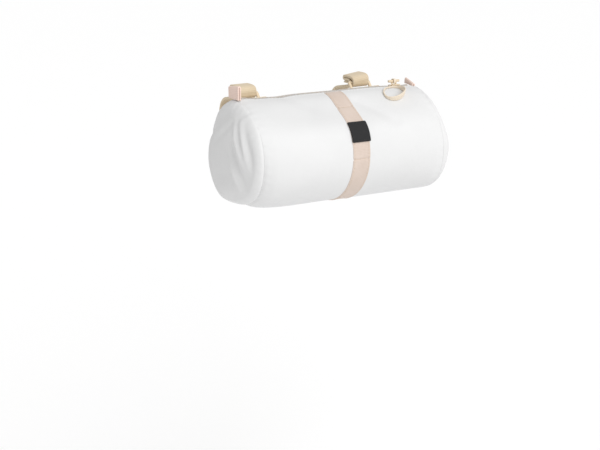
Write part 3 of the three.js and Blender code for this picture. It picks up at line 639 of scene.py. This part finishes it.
def coil_turns(side, start):
    """One side of the coil: at every pitch an arch of six places, from the tape across the middle of the zip,
    whose height and slant follow a sine."""
    reach = ZIP_LENGTH / 2 - COIL_SHORT_OF_END
    x = np.arange(-reach + start, reach, COIL_PITCH)
    share = np.linspace(0, 1, 6)
    across = side * (COIL_HALF - (COIL_HALF + COIL_PAST_MIDDLE) * share)
    level = COIL_BASE + COIL_ARCH * np.sin(np.pi * (COIL_ARCH_FROM + (COIL_ARCH_TO - COIL_ARCH_FROM) * share))
    slant = COIL_SLANT * np.sin(np.pi * share)
    paths = points_of(x[:, None] + slant, across, level)
    along = np.gradient(paths, axis=1)
    along = along / np.linalg.norm(along, axis=2, keepdims=True)
    sideways = np.broadcast_to(np.array([1.0, 0, 0]), paths.shape)
    sideways = sideways - along * (sideways * along).sum(axis=2, keepdims=True)
    upright = np.cross(along, sideways)
    radii = np.broadcast_to(COIL_WIRE, paths.shape[:2])
    points, faces, places = tubes(paths, sideways, upright, radii)
    laid = on_roll(points[:, 0], ZIP_TURN + turn_of(points[:, 1]), points[:, 2])
    return laid, faces if facing_out(laid, faces) else faces[:, ::-1], places


make_piece(
    "zip_coil_turns",
    [coil_turns(1, 0), coil_turns(-1, COIL_PITCH / 2)],
    nylon_coil,
    "coil",
    "zip_coil",
)

# Hem stitches: one row of white polyester thread along each side of the zip, through hem and tape.
# They are lock stitches, so each shows as a short spindle that is sunk into the cloth at both ends.
HEM_ROW_SHORT = 3
HEM_ROW_STEPS = 160
# A stitch from end to end: shares of its length, and heights and half widths in widths of its thread
STITCH_SHARE = np.array([0, 0.15, 0.5, 0.85, 1])
STITCH_RISE = np.array([-1.2, 0.25, 0.55, 0.25, -1.2])
STITCH_HALF = np.array([0.5, 0.95, 1, 0.95, 0.5])


def stitches(line, normals, pitch=3.4, length=2.6, thread=0.26):
    """Row of stitches along a line of points: spindles laid end to end at the pitch, each rising out of the
    cloth in its middle and sinking into it at both ends."""
    gone = np.r_[0, np.cumsum(np.linalg.norm(np.diff(line, axis=0), axis=1))]
    starts = np.arange(pitch / 4, gone[-1] - length, pitch)
    place = starts[:, None] + STITCH_SHARE * length
    paths = np.stack([np.interp(place, gone, line[:, axis]) for axis in range(3)], axis=-1)
    upright = np.stack([np.interp(place, gone, normals[:, axis]) for axis in range(3)], axis=-1)
    upright = upright / np.linalg.norm(upright, axis=2, keepdims=True)
    along = paths[:, -1:] - paths[:, :1]
    along = along / np.linalg.norm(along, axis=2, keepdims=True)
    sideways = np.cross(along, upright)
    paths = paths + upright * thread * STITCH_RISE[:, None]
    radii = np.broadcast_to(thread * STITCH_HALF, place.shape)
    return tubes(paths, sideways, upright, radii)


# Sewing thread: twisted polyester, satin, with a faint ply that shows as paler and darker bands.
sewing_threads = {}
for thread_name, dark, light in (
    ("white", "d9d8d5", "ebeae7"),
    ("beige", "c8b6a2", "dccbb8"),
    ("black", "19191a", "2c2c2d"),
):
    thread_material = new_material(f"polyester_thread_{thread_name}")
    thread_place = add_node(thread_material, "TexCoord", {})
    thread_ply = add_node(
        thread_material,
        "TexWave",
        {"Vector": thread_place.outputs["Object"], "Scale": WAVE_PERIOD / (0.9 * MM)},
        bands_direction="DIAGONAL",
    )
    thread_colour = add_node(
        thread_material,
        "Mix",
        {0: thread_ply.outputs["Fac"], 6: colour(dark), 7: colour(light)},
        data_type="RGBA",
    )
    finish_shader(thread_material, {"Base Color": thread_colour.outputs[2], "Roughness": 0.6})
    sewing_threads[thread_name] = thread_material


def roll_normals(line):
    """Directions straight out of the roll at the points of a line on it."""
    x = line[:, 0]
    out = line - points_of(x, ROLL_AXIS_Y, ROLL_AXIS_Z + along_roll("lift", x))
    return out / np.linalg.norm(out, axis=1, keepdims=True)


hem_x = np.linspace(-SEAM_X + HEM_ROW_SHORT, SEAM_X - HEM_ROW_SHORT, HEM_ROW_STEPS)
hem_parts = []
for hem_turn in (front_lip + turn_of(HEM_STITCH), back_lip - turn_of(HEM_STITCH)):
    hem_line = on_roll(hem_x, hem_turn, panel_height(hem_x, np.full_like(hem_x, hem_turn)))
    hem_parts.append(stitches(hem_line, roll_normals(hem_line)))
make_piece("hem_stitches", hem_parts, sewing_threads["white"], "fabric")

# Slider: a moulded wedge that rides over the coil, parked at the right end, with a bail standing along it.
# It is beige acetal, and its wider mouth faces the end of the zip.
SLIDER_X = 83.2
SLIDER_HALF_LENGTH = 5.5
SLIDER_TAIL = 3.5
SLIDER_MOUTH = 4.75
MOUTH_FROM = 0.1
MOUTH_TO = 0.95
PLATE_BASE = 0.6
PLATE_TOP = 2.4
BAIL_TOP = 7.1
BAIL_BAR = 2.6
BAIL_HALF_LENGTH = 7.0
BAIL_POST = 1.9
BAIL_POST_LINE = ((2.5, 1.5), (2.3, 2.8), (2.4, 3.9), (3, 5.3))

# Acetal: moulded, satin, beige through and through, with the faint unevenness of a textured mould.
moulded_acetal = new_material("moulded_acetal")
acetal_place = add_node(moulded_acetal, "TexCoord", {})
acetal_tone = add_node(
    moulded_acetal,
    "TexNoise",
    {"Vector": acetal_place.outputs["Object"], "Scale": 1 / (9 * MM), "Detail": 3.0},
)
acetal_colour = add_node(
    moulded_acetal,
    "Mix",
    {0: acetal_tone.outputs["Fac"], 6: colour("d8c4a6"), 7: colour("e2d0b4")},
    data_type="RGBA",
)
acetal_grain = add_node(
    moulded_acetal,
    "TexNoise",
    {"Vector": acetal_place.outputs["Object"], "Scale": 1 / (0.8 * MM), "Detail": 2.0},
)
acetal_relief = add_node(
    moulded_acetal,
    "Bump",
    {"Height": acetal_grain.outputs["Fac"], "Strength": 0.15, "Distance": 0.1 * MM},
)
finish_shader(
    moulded_acetal,
    {
        "Base Color": acetal_colour.outputs[2],
        "Roughness": 0.42,
        "IOR": 1.48,
        "Normal": acetal_relief.outputs["Normal"],
    },
)


def rounded_bar(half_width, half_height, steps=20, power=3.5):
    """Closed profile between a circle and a rectangle: a superellipse of the given half sizes."""
    angle = np.radians(np.arange(steps) * 360 / steps + 180 / steps)
    across = np.sign(np.cos(angle)) * np.abs(np.cos(angle)) ** (2 / power)
    upward = np.sign(np.sin(angle)) * np.abs(np.sin(angle)) ** (2 / power)
    order = np.roll(np.arange(steps), steps // 4)
    return (half_width * across)[order], (half_height * upward)[order]


def on_zip(points):
    """Turns points from the slider's own frame, with X along the zip and Z out of the roll, into place."""
    angle = np.radians(ZIP_TURN)
    y = points[..., 1] * np.cos(angle) - points[..., 2] * np.sin(angle)
    z = points[..., 1] * np.sin(angle) + points[..., 2] * np.cos(angle)
    return points_of(points[..., 0], y, z) + on_roll(SLIDER_X, ZIP_TURN, 0)


# Shares of a bar's length, crowded at its ends, where a high power just past its length narrows it to BAR_END
BAR_END = 0.65
BAR_POWER = 14
BAR_PAST_LENGTH = 1.002
bar_share = np.array([-1, -0.985, -0.93, -0.82, -0.6, -0.3, 0, 0.2, 0.4, 0.6, 0.82, 0.93, 0.985, 1])
bar_round = np.sqrt(1 - (np.abs(bar_share) / BAR_PAST_LENGTH) ** BAR_POWER) * (1 - BAR_END) + BAR_END


def zip_bar(half_length, half_width, low, high):
    """Bar along the zip: a rounded rectangle carried along X, with its own half width at every share of the
    length, narrowed towards both ends."""
    across, upward = rounded_bar(1, (high - low) / 2)
    y = across[:, None] * half_width * bar_round
    z = upward[:, None] * bar_round + (low + high) / 2
    return swept(on_zip(points_of(bar_share * half_length, y, z)))


plate_half = SLIDER_TAIL + (SLIDER_MOUTH - SLIDER_TAIL) * smoothstep(bar_share, MOUTH_FROM, MOUTH_TO)
slider_plate = zip_bar(SLIDER_HALF_LENGTH, plate_half, PLATE_BASE, PLATE_TOP)
bail_bar = zip_bar(BAIL_HALF_LENGTH, BAIL_BAR / 2, BAIL_TOP - BAIL_BAR, BAIL_TOP)


def in_plane_normals(path):
    """Directions square to a path drawn in a plane, to the left of its run."""
    along = np.gradient(path, axis=0)
    along = along / np.linalg.norm(along, axis=1, keepdims=True)
    return np.stack([-along[:, 1], along[:, 0]], axis=-1)


def bail_post(side):
    """Post of the bail: a rounded bar carried up a curve from the plate out to one end of the bail's bar."""
    path = smooth_line(np.array(BAIL_POST_LINE) * (side, 1), steps=18)
    across, upward = rounded_bar(BAIL_POST / 2, BAIL_POST / 2)
    plane = path[None] + in_plane_normals(path)[None] * upward[:, None, None]
    return swept(on_zip(points_of(plane[..., 0], across[:, None], plane[..., 1])))


make_piece(
    "zip_slider_body",
    [slider_plate, bail_bar, bail_post(-1), bail_post(1)],
    moulded_acetal,
    "plastic",
    "zip_slider",
)

# Pull loop: a ring of soft ribbon that stands on its edge on the front, hitched to the bail by a short neck.
# The ribbon is woven polyester, and it stands highest in front.
LOOP_X = 66.6
LOOP_TURN = 16.2
LOOP_LONG = 15.6
LOOP_SHORT = 10.5
LOOP_SKEW = np.radians(34)
LOOP_FRONT_HEIGHT = 7.6
LOOP_BACK_HEIGHT = 1.4
LOOP_LOW = 0.3
LOOP_THICKNESS = 1.3
LOOP_STEPS = 96
HITCH_WIDTH = 2.6
HITCH_INNER = 1.6
HITCH_WALL = 0.9
HITCH_STEP = 15
HITCH_POWER = 4
NECK_ANGLE = np.radians(-50)
NECK_WIDTH = 2.6
NECK_REACH = 4.0
NECK_HEIGHT = 2.4
NECK_STEPS = 14

# Webbing: flat-woven polyester with a cotton feel, matt. Cords of 1.6 mm run along it and 1.1 mm picks cross
# them, so close by it is a small basket pattern with darker gaps. Picks are drawn a third coarser than that.
webbings = {
    name: woven(
        f"woven_webbing_{name}",
        [("X", 1.6, 0.3), ("Y", 1.5, 0.5)],
        dark,
        light,
        strength=0.5,
        depth=0.3,
        shader={"Roughness": 0.85, "Sheen Weight": 0.15},
        patches=16,
    )
    for name, dark, light in (
        ("band", "bfad9f", "d3c3b8"),
        # The tab copy is the band's webbing painted lighter and pinker, as painted light that offsets the
        # shade the side-facing tabs stand in.
        ("tab", "d8bdae", "edd5c9"),
        ("strap", "c6b392", "dac9ae"),
        ("ribbon", "d8c7b0", "eaddca"),
    )
}

loop_arc = arc_of(LOOP_TURN)
loop_lean = np.arctan2(SLIDER_X - LOOP_X, loop_arc - arc_of(ZIP_TURN))


def on_loop(angle, inset, height):
    """Place on the roll on the loop's ellipse, by angle from its right end over its front, inset from its
    outer edge. The ellipse is turned so that its right end lies towards the zip."""
    along = (LOOP_LONG - inset) * np.cos(angle)
    forward = (LOOP_SHORT - inset) * np.sin(angle)
    x = LOOP_X + along * np.cos(LOOP_SKEW) + forward * np.sin(LOOP_SKEW)
    arc = loop_arc - along * np.sin(LOOP_SKEW) + forward * np.cos(LOOP_SKEW)
    return on_roll(x, turn_of(arc), height)


loop_angle = np.linspace(0, 2 * np.pi, LOOP_STEPS, endpoint=False)
loop_front = ((1 + np.sin(loop_angle)) / 2) ** 2
loop_height = LOOP_BACK_HEIGHT + (LOOP_FRONT_HEIGHT - LOOP_BACK_HEIGHT) * loop_front
loop_across, loop_up = (part[:, None] for part in rounded_bar(0.5, 0.5, power=5))
loop_inset = LOOP_THICKNESS * (0.5 - loop_across)
loop_ring = swept(on_loop(loop_angle, loop_inset, LOOP_LOW + loop_height * (0.5 + loop_up)), closed=True)

# Hitch: a rounded square round the bail, as a superellipse, with the ribbon's profile carried round it
hitch_angle = np.radians(np.arange(0, 360, HITCH_STEP))
hitch_reach = HITCH_INNER + HITCH_WALL / 2
hitch_powers = np.abs(np.cos(hitch_angle)) ** HITCH_POWER + np.abs(np.sin(hitch_angle)) ** HITCH_POWER
hitch_corner = hitch_powers ** (-1 / HITCH_POWER)
hitch_across, hitch_up = rounded_bar(HITCH_WIDTH / 2, HITCH_WALL / 2)
hitch_out = hitch_reach * hitch_corner + hitch_up[:, None]
hitch_z = hitch_out * np.sin(hitch_angle) + BAIL_TOP - BAIL_BAR / 2
hitch_loops = points_of(hitch_across[:, None], hitch_out * np.cos(hitch_angle), hitch_z)
# Neck: the same profile along a quadratic curve, from under the hitch past a middle place to the ring
neck_start = on_zip(np.array([0, -hitch_reach, BAIL_TOP - BAIL_BAR / 2 - hitch_reach]))
neck_middle = on_loop(NECK_ANGLE, -NECK_REACH, NECK_HEIGHT)
neck_end = on_loop(NECK_ANGLE, LOOP_THICKNESS / 2, LOOP_LOW + LOOP_BACK_HEIGHT / 2)
neck_t = np.linspace(0, 1, NECK_STEPS)[:, None]
neck_path = neck_start * (1 - neck_t) ** 2 + 2 * neck_middle * neck_t * (1 - neck_t) + neck_end * neck_t ** 2
neck_sideways = np.array([np.cos(loop_lean), np.sin(loop_lean), 0])
neck_across, neck_up = rounded_bar(NECK_WIDTH / 2, HITCH_WALL / 2)
neck_loops = neck_path[None] + neck_across[:, None, None] * neck_sideways
neck_loops = neck_loops + neck_up[:, None, None] * np.array([0, 0, 1.0])
make_piece(
    "zip_pull_loop",
    [loop_ring, swept(on_zip(hitch_loops), closed=True), swept(neck_loops)],
    webbings["ribbon"],
    "strap",
    "pull_loop",
)

# Zip tabs: short ends of the band's webbing, folded in two and caught in the end seams over the zip's ends.
# The left one stands up, and only the fold of the right one shows.
WEBBING_WIDTH = 20.0
TAB_THICKNESS = 1.5
TAB_SPREAD = 1.0
TAB_FOOT_TURN = -4
# Slant: how much higher a tab's front corner stands than its middle
TABS = (
    {"side": "left", "x": -104.2, "height": 11.4, "twist": 0, "slant": 1.2},
    {"side": "right", "x": 104.2, "height": 3.4, "twist": -13, "slant": -1.6},
)


def arc_line(centre, radius, start, end, steps):
    """Points of an arc in the YZ plane, by angle from +Y towards +Z."""
    angle = np.radians(np.linspace(start, end, steps + 1))
    return np.asarray(centre) + radius * np.stack([np.cos(angle), np.sin(angle)], axis=-1)


def ribbon(path, x, half_width, thickness, steps=11, round_edge=0.6):
    """Webbing led along a path in the YZ plane: its round-edged profile, square to the path at each point."""
    across, rise = strip_profile(half_width, thickness, steps, round_edge)
    plane = path + in_plane_normals(path) * rise[..., None]
    return points_of(x + across, plane[..., 0], plane[..., 1])


for tab in TABS:
    inner_face = tab["x"] - np.sign(tab["x"]) * (TAB_SPREAD + TAB_THICKNESS)
    foot = on_roll(inner_face, TAB_FOOT_TURN, SEAM_GAP)[2]
    middle_y = on_roll(inner_face, ZIP_TURN, 0)[1]
    fold_level = foot + tab["height"] - TAB_SPREAD
    rising = np.linspace((-TAB_SPREAD, foot), (-TAB_SPREAD, fold_level), 12)
    fold = arc_line((0, fold_level), TAB_SPREAD, 180, 0, steps=14)
    falling = rising[::-1] * (-1, 1)
    tab_path = np.concatenate([rising[:-1], fold, falling[1:]])
    tab_loops = ribbon(tab_path, 0, WEBBING_WIDTH / 2, TAB_THICKNESS)
    forward = tab_loops[..., 0] / (WEBBING_WIDTH / 2)
    tab_z = tab_loops[..., 2] + tab["slant"] * forward * (tab_loops[..., 2] - foot) / tab["height"]
    # The ribbon is drawn across X, and a quarter turn lays it from front to back
    tab_turn = np.radians(tab["twist"] - 90)
    tab_x = tab["x"] + tab_loops[..., 0] * np.cos(tab_turn) - tab_loops[..., 1] * np.sin(tab_turn)
    tab_y = middle_y + tab_loops[..., 0] * np.sin(tab_turn) + tab_loops[..., 1] * np.cos(tab_turn)
    tab_skin = swept(points_of(tab_x, tab_y, tab_z))
    side = tab["side"]
    # The tabs take the band's webbing painted lighter, as painted light against the shade they stand in.
    make_piece(f"{side}_zip_tab", [tab_skin], webbings["tab"], "webbing", f"zip_tab_{side}")

# Band: webbing laid round the middle of the roll, short of the zip, and sewn down along both edges.
# Rows of stitches across it pull it in a little.
BAND_X = 0.6
BAND_LOW = -0.7
BAND_THICKNESS = 1.2
BAND_SHORT_OF_ZIP = 2.4
BAND_EDGE_STITCH = 1.8
BAND_CROSS_ROWS = (29.5, 92.5, 180, 270)
BAND_ROW_DIP = 0.5
BAND_ROW_WIDTH = 0.9
BAND_ROW_REACH = 1.9
BAND_EDGE_ROW_SHORT = 1
BAND_STEPS = 200
BAND_STEPS_AT_ROW = 12
BAND_EDGE_ROW_STEPS = 300
BAND_CROSS_ROW_STEPS = 20
band_from = front_lip + turn_of(BAND_SHORT_OF_ZIP)
band_to = back_lip - turn_of(BAND_SHORT_OF_ZIP)
band_top = BAND_LOW + BAND_THICKNESS
row_turns = np.array(BAND_CROSS_ROWS)[:, None]
near_rows = row_turns + np.linspace(-BAND_ROW_REACH, BAND_ROW_REACH, BAND_STEPS_AT_ROW)
band_turns = np.sort(np.r_[np.linspace(band_from, band_to, BAND_STEPS), near_rows.ravel()])
row_dips = bell(arc_of(band_turns - row_turns), BAND_ROW_WIDTH).sum(axis=0)
band_high = band_top - BAND_ROW_DIP * row_dips
band_strip = strip_on_roll(
    BAND_X, WEBBING_WIDTH / 2, band_turns, BAND_LOW, band_high, steps=15, round_edge=0.7
)
make_piece("middle_band", [band_strip], webbings["band"], "webbing", "front_band")

band_rows = []
for edge_side in (-1, 1):
    row_x = BAND_X + edge_side * (WEBBING_WIDTH / 2 - BAND_EDGE_STITCH)
    row_from = band_from + BAND_EDGE_ROW_SHORT
    row_to = band_to - BAND_EDGE_ROW_SHORT
    row_line = on_roll(row_x, np.linspace(row_from, row_to, BAND_EDGE_ROW_STEPS), band_top)
    band_rows.append(stitches(row_line, roll_normals(row_line)))
for row_turn in BAND_CROSS_ROWS:
    reach = WEBBING_WIDTH / 2 - BAND_EDGE_STITCH
    row_x = np.linspace(BAND_X - reach, BAND_X + reach, BAND_CROSS_ROW_STEPS)
    row_line = on_roll(row_x, row_turn, band_top - BAND_ROW_DIP)
    band_rows.append(stitches(row_line, roll_normals(row_line), pitch=2.7, length=2.3))
make_piece("band_stitches", band_rows, sewing_threads["beige"], "webbing")

# Label: a bare black woven patch with its edges turned under.
# It is sewn on the band all round with thread of its own colour.
LABEL_X = 1.0
LABEL_HALF_WIDTH = 10.7
LABEL_FROM = 53
LABEL_TO = 75
LABEL_LOW = 0.55
LABEL_THICKNESS = 0.9
LABEL_CORNER = 1.0
LABEL_STITCH = 1.5
LABEL_STEPS = 18
LABEL_ROW_STEPS = 24

# Label cloth: dense satin-woven polyester, near black, with fine ribs that catch a little light.
woven_label = woven(
    "woven_black_label",
    [("Y", 0.8, 0.4)],
    "212122",
    "323233",
    strength=0.35,
    depth=0.15,
    shader={"Roughness": 0.8, "Specular IOR Level": 0.2},
)

# Distances from the label's ends at which it is drawn, close at its round corners
label_ends = np.array([0, 0.12, 0.4, 0.8, 1.2, 1.6, 2.2])
label_length = arc_of(LABEL_TO - LABEL_FROM)
label_middle = np.linspace(label_ends[-1], label_length - label_ends[-1], LABEL_STEPS)[1:-1]
label_arc = np.r_[label_ends, label_middle, label_length - label_ends[::-1]]
to_end = np.clip(np.minimum(label_arc, label_length - label_arc) / LABEL_CORNER, 0, 1)
label_half = LABEL_HALF_WIDTH - LABEL_CORNER * (1 - np.sqrt(1 - (1 - to_end) ** 2))
label_turns = LABEL_FROM + turn_of(label_arc)
label_strip = strip_on_roll(
    LABEL_X, label_half, label_turns, LABEL_LOW, LABEL_LOW + LABEL_THICKNESS, steps=13, round_edge=0.4
)
make_piece("label_cloth", [label_strip], woven_label, "label", "label_patch")

label_x = LABEL_HALF_WIDTH - LABEL_STITCH
label_from = LABEL_FROM + turn_of(LABEL_STITCH)
label_to = LABEL_TO - turn_of(LABEL_STITCH)
label_rows = []
for first_x, first_turn, last_x, last_turn in (
    (-label_x, label_from, label_x, label_from),
    (label_x, label_from, label_x, label_to),
    (label_x, label_to, -label_x, label_to),
    (-label_x, label_to, -label_x, label_from),
):
    row_x = LABEL_X + np.linspace(first_x, last_x, LABEL_ROW_STEPS)
    row_turn = np.linspace(first_turn, last_turn, LABEL_ROW_STEPS)
    row_line = on_roll(row_x, row_turn, LABEL_LOW + LABEL_THICKNESS)
    label_rows.append(stitches(row_line, roll_normals(row_line), pitch=2.4, length=1.9, thread=0.2))
make_piece("label_stitches", label_rows, sewing_threads["black"], "label")

# Ring anchors: short webbing tabs sewn behind the zip.
# Each is led round its ring's lower bar and back on top of itself.
SIDES = (("left", -1), ("right", 1))
STRAP_X = 69.0
STRAP_SEAT = 59.0
ANCHOR_THICKNESS = 1.6
ANCHOR_FROM = 332
ANCHOR_TO = 322
ANCHOR_LOW = 1.1
ANCHOR_HIGH = 3.0
ANCHOR_WRAP = (-110, 150)
RING_TILT = np.radians(50)
RING_ALONG = np.array([np.cos(RING_TILT), np.sin(RING_TILT)])
RING_SQUARE = np.array([-np.sin(RING_TILT), np.cos(RING_TILT)])
RING_UPPER_BAR = np.array([-22.5, 25.5])
RING_SPACING = 12.0
RING_BAR = 3.2
RING_DEPTH = 2.8
RING_CLEARANCE = 0.3
RING_LOWER_BAR = RING_UPPER_BAR - RING_SPACING * RING_ALONG
RING_WRAP = np.hypot(RING_BAR, RING_DEPTH) / 2 + RING_CLEARANCE


def roll_line(x, start, end, height, steps):
    """Points along the roll at x, in the YZ plane."""
    return on_roll(x, np.linspace(start, end, steps + 1), height)[:, 1:]


def anchor_line(x):
    """Middle line of an anchor: up the roll, round the ring's lower bar, and back on top of itself."""
    lower = roll_line(x, ANCHOR_FROM, ANCHOR_TO, ANCHOR_LOW, steps=3)
    upper = roll_line(x, ANCHOR_TO, ANCHOR_FROM, ANCHOR_HIGH, steps=3)
    turn_round = arc_line(RING_LOWER_BAR, RING_WRAP + ANCHOR_THICKNESS / 2, *ANCHOR_WRAP, steps=10)
    out = smooth_line([*lower[2:], turn_round[0]], steps=18)
    back = smooth_line([turn_round[-1], *upper[:2]], steps=18)
    return np.concatenate([lower[:2], out, turn_round[1:-1], back, upper[2:]])


for side, sense in SIDES:
    anchor_path = anchor_line(sense * STRAP_SEAT)
    anchor_loops = ribbon(anchor_path, sense * STRAP_X, WEBBING_WIDTH / 2, ANCHOR_THICKNESS)
    make_piece(f"{side}_anchor", [swept(anchor_loops)], webbings["strap"], "strap", f"ring_anchor_{side}")

# Rings: flat rectangular frames of moulded acetal with round corners.
# The anchors hold them by their lower bars, tilted up and back.
RING_HALF_WIDTH = 12.35
RING_CORNER = 1.4
RING_LEAST_CORNER = 0.35


def ring_loops(x):
    """Rectangle with round corners, drawn once for every point of the bar's profile and wider or narrower by
    its place there, then tilted into place."""
    across, upward = rounded_bar(RING_BAR / 2, RING_DEPTH / 2)
    out = across[:, None]
    angle = np.radians(np.concatenate([np.linspace(start, start + 90, 7) for start in (0, 90, 180, 270)]))
    sign_u = np.repeat([1, -1, -1, 1], 7)
    sign_v = np.repeat([1, 1, -1, -1], 7)
    corner = np.maximum(RING_CORNER + out, RING_LEAST_CORNER)
    u = sign_u * (RING_HALF_WIDTH + out - corner) + corner * np.cos(angle)
    v = sign_v * (RING_SPACING / 2 + out - corner) + corner * np.sin(angle)
    middle = (RING_UPPER_BAR + RING_LOWER_BAR) / 2
    plane = middle + v[..., None] * RING_ALONG + upward[:, None, None] * RING_SQUARE
    return points_of(x + u, plane[..., 0], plane[..., 1])


for side, sense in SIDES:
    ring = swept(ring_loops(sense * STRAP_X), closed=True)
    make_piece(f"{side}_ring", [ring], moulded_acetal, "plastic", f"strap_ring_{side}")

# Bar straps: webbing sewn to the back of the roll, led round in a loop for the mount, down through the ring,
# and back up in a bow whose end is folded flat under it.
MOUNT_RADIUS = 15.9
MOUNT_CLEARANCE = 0.6
STRAP_THICKNESS = 2.6
# The strap's stretch on the roll, and the angles where it joins and leaves the mount and the ring's upper bar
STRAP_FOOT = (252, 270)
STRAP_ROUND_MOUNT = (-84, 78)
STRAP_ROUND_RING = (-104, -182)
STRAP_RISE = ((-16.4, -21.7), (-10.8, -19), (-5, -18.4))
STRAP_BOW = ((-26.4, 28.2), (-24.9, 30.6), (-21.5, 31.8), (-16, 32.1))
# Folded end under the bow: where it turns behind and in front, its top layer, and the step between its layers
FOLD_BACK = -9.0
FOLD_FRONT = -17.0
FOLD_TOP = 32.0
FOLD_STEP = 3.2
# The right bow leans: its outer edge stands this much higher than its middle, from these levels up
BOW_LEAN = {"left": 0, "right": 1.2}
BOW_LEVELS = (23, 26)


def strap_line(x):
    """Middle line of a strap, from its sewn foot on the roll, round the mount and the ring's upper bar, and
    up in the bow to the half circles of its folded end."""
    hug = MOUNT_RADIUS + MOUNT_CLEARANCE + STRAP_THICKNESS / 2
    sewn = roll_line(x, *STRAP_FOOT, SEAM_GAP + STRAP_THICKNESS / 2, steps=4)
    under = arc_line((0, 0), hug, *STRAP_ROUND_MOUNT, steps=40)
    turn_round = arc_line(RING_UPPER_BAR, RING_WRAP + STRAP_THICKNESS / 2, *STRAP_ROUND_RING, steps=8)
    back_fold = arc_line((FOLD_BACK, FOLD_TOP - FOLD_STEP / 2), FOLD_STEP / 2, 90, -90, steps=14)
    front_fold = arc_line((FOLD_FRONT, FOLD_TOP - FOLD_STEP * 1.5), FOLD_STEP / 2, 90, 270, steps=14)
    strap_end = np.array([(FOLD_BACK, FOLD_TOP - FOLD_STEP * 2)])
    leave = smooth_line([sewn[-1], *STRAP_RISE, under[0]], steps=20)
    bow = smooth_line([turn_round[-1], *STRAP_BOW, back_fold[0]], steps=48)
    folded = np.concatenate([back_fold[1:], front_fold, strap_end])
    return np.concatenate([sewn[:-1], leave, under[1:], turn_round[:-1], bow, folded])


for side, sense in SIDES:
    strap_loops = ribbon(strap_line(sense * STRAP_SEAT), sense * STRAP_X, WEBBING_WIDTH / 2, STRAP_THICKNESS)
    outward = (strap_loops[..., 0] - sense * STRAP_X) / (WEBBING_WIDTH / 2)
    strap_loops[..., 2] += BOW_LEAN[side] * outward * smoothstep(strap_loops[..., 2], *BOW_LEVELS)
    make_piece(f"{side}_bar_strap", [swept(strap_loops)], webbings["strap"], "strap", f"bar_strap_{side}")

# Studio: a pale floor well below the hanging bag, an even white surround, and one soft key above in front.
# The camera stands where the photograph was taken from. Places are in metres and angles in degrees.
FLOOR_Z = -0.55
FLOOR_HALF = 30.0
SURROUND_STRENGTH = 0.6
KEY_STRENGTH = 2.03
KEY_WIDTH = 60
KEY_FROM_ABOVE = 50
KEY_TO_RIGHT = 13
CAMERA_PLACE = (-0.4905, -0.8206, 0.1832)
CAMERA_DOWN = 18.25
CAMERA_TO_RIGHT = 31.31
CAMERA_LENS = 54
CAMERA_SENSOR = 36
floor_corner = np.array([(-1, -1), (1, -1), (1, 1), (-1, 1)]) * FLOOR_HALF
floor_mesh = bpy.data.meshes.new("studio_floor")
floor_mesh.from_pydata(np.c_[floor_corner, np.full(4, FLOOR_Z)], [], [(0, 1, 2, 3)])
floor_paint = new_material("white_floor_paint")
finish_shader(floor_paint, {"Base Color": colour("ffffff"), "Roughness": 0.9})
floor_mesh.materials.append(floor_paint)
floor = add_object("studio_floor", floor_mesh)

surround = bpy.data.worlds.new("white_surround")
surround.use_nodes = True
background = surround.node_tree.nodes["Background"]
background.inputs["Color"].default_value = (1, 1, 1, 1)
background.inputs["Strength"].default_value = SURROUND_STRENGTH
bpy.context.scene.world = surround

key_data = bpy.data.lights.new("soft_key", "SUN")
key_data.energy = KEY_STRENGTH
key_data.angle = np.radians(KEY_WIDTH)
key = add_object("soft_key", key_data)
key.rotation_euler = np.radians((KEY_FROM_ABOVE, 0, KEY_TO_RIGHT))

bpy.context.scene.view_settings.view_transform = "Standard"

camera_data = bpy.data.cameras.new("photo_camera")
camera_data.sensor_width = CAMERA_SENSOR
camera_data.sensor_fit = "HORIZONTAL"
camera_data.lens = CAMERA_LENS
camera = add_object("photo_camera", camera_data)
camera.location = CAMERA_PLACE
camera.rotation_euler = np.radians((90 - CAMERA_DOWN, 0, -CAMERA_TO_RIGHT))
bpy.context.scene.camera = camera
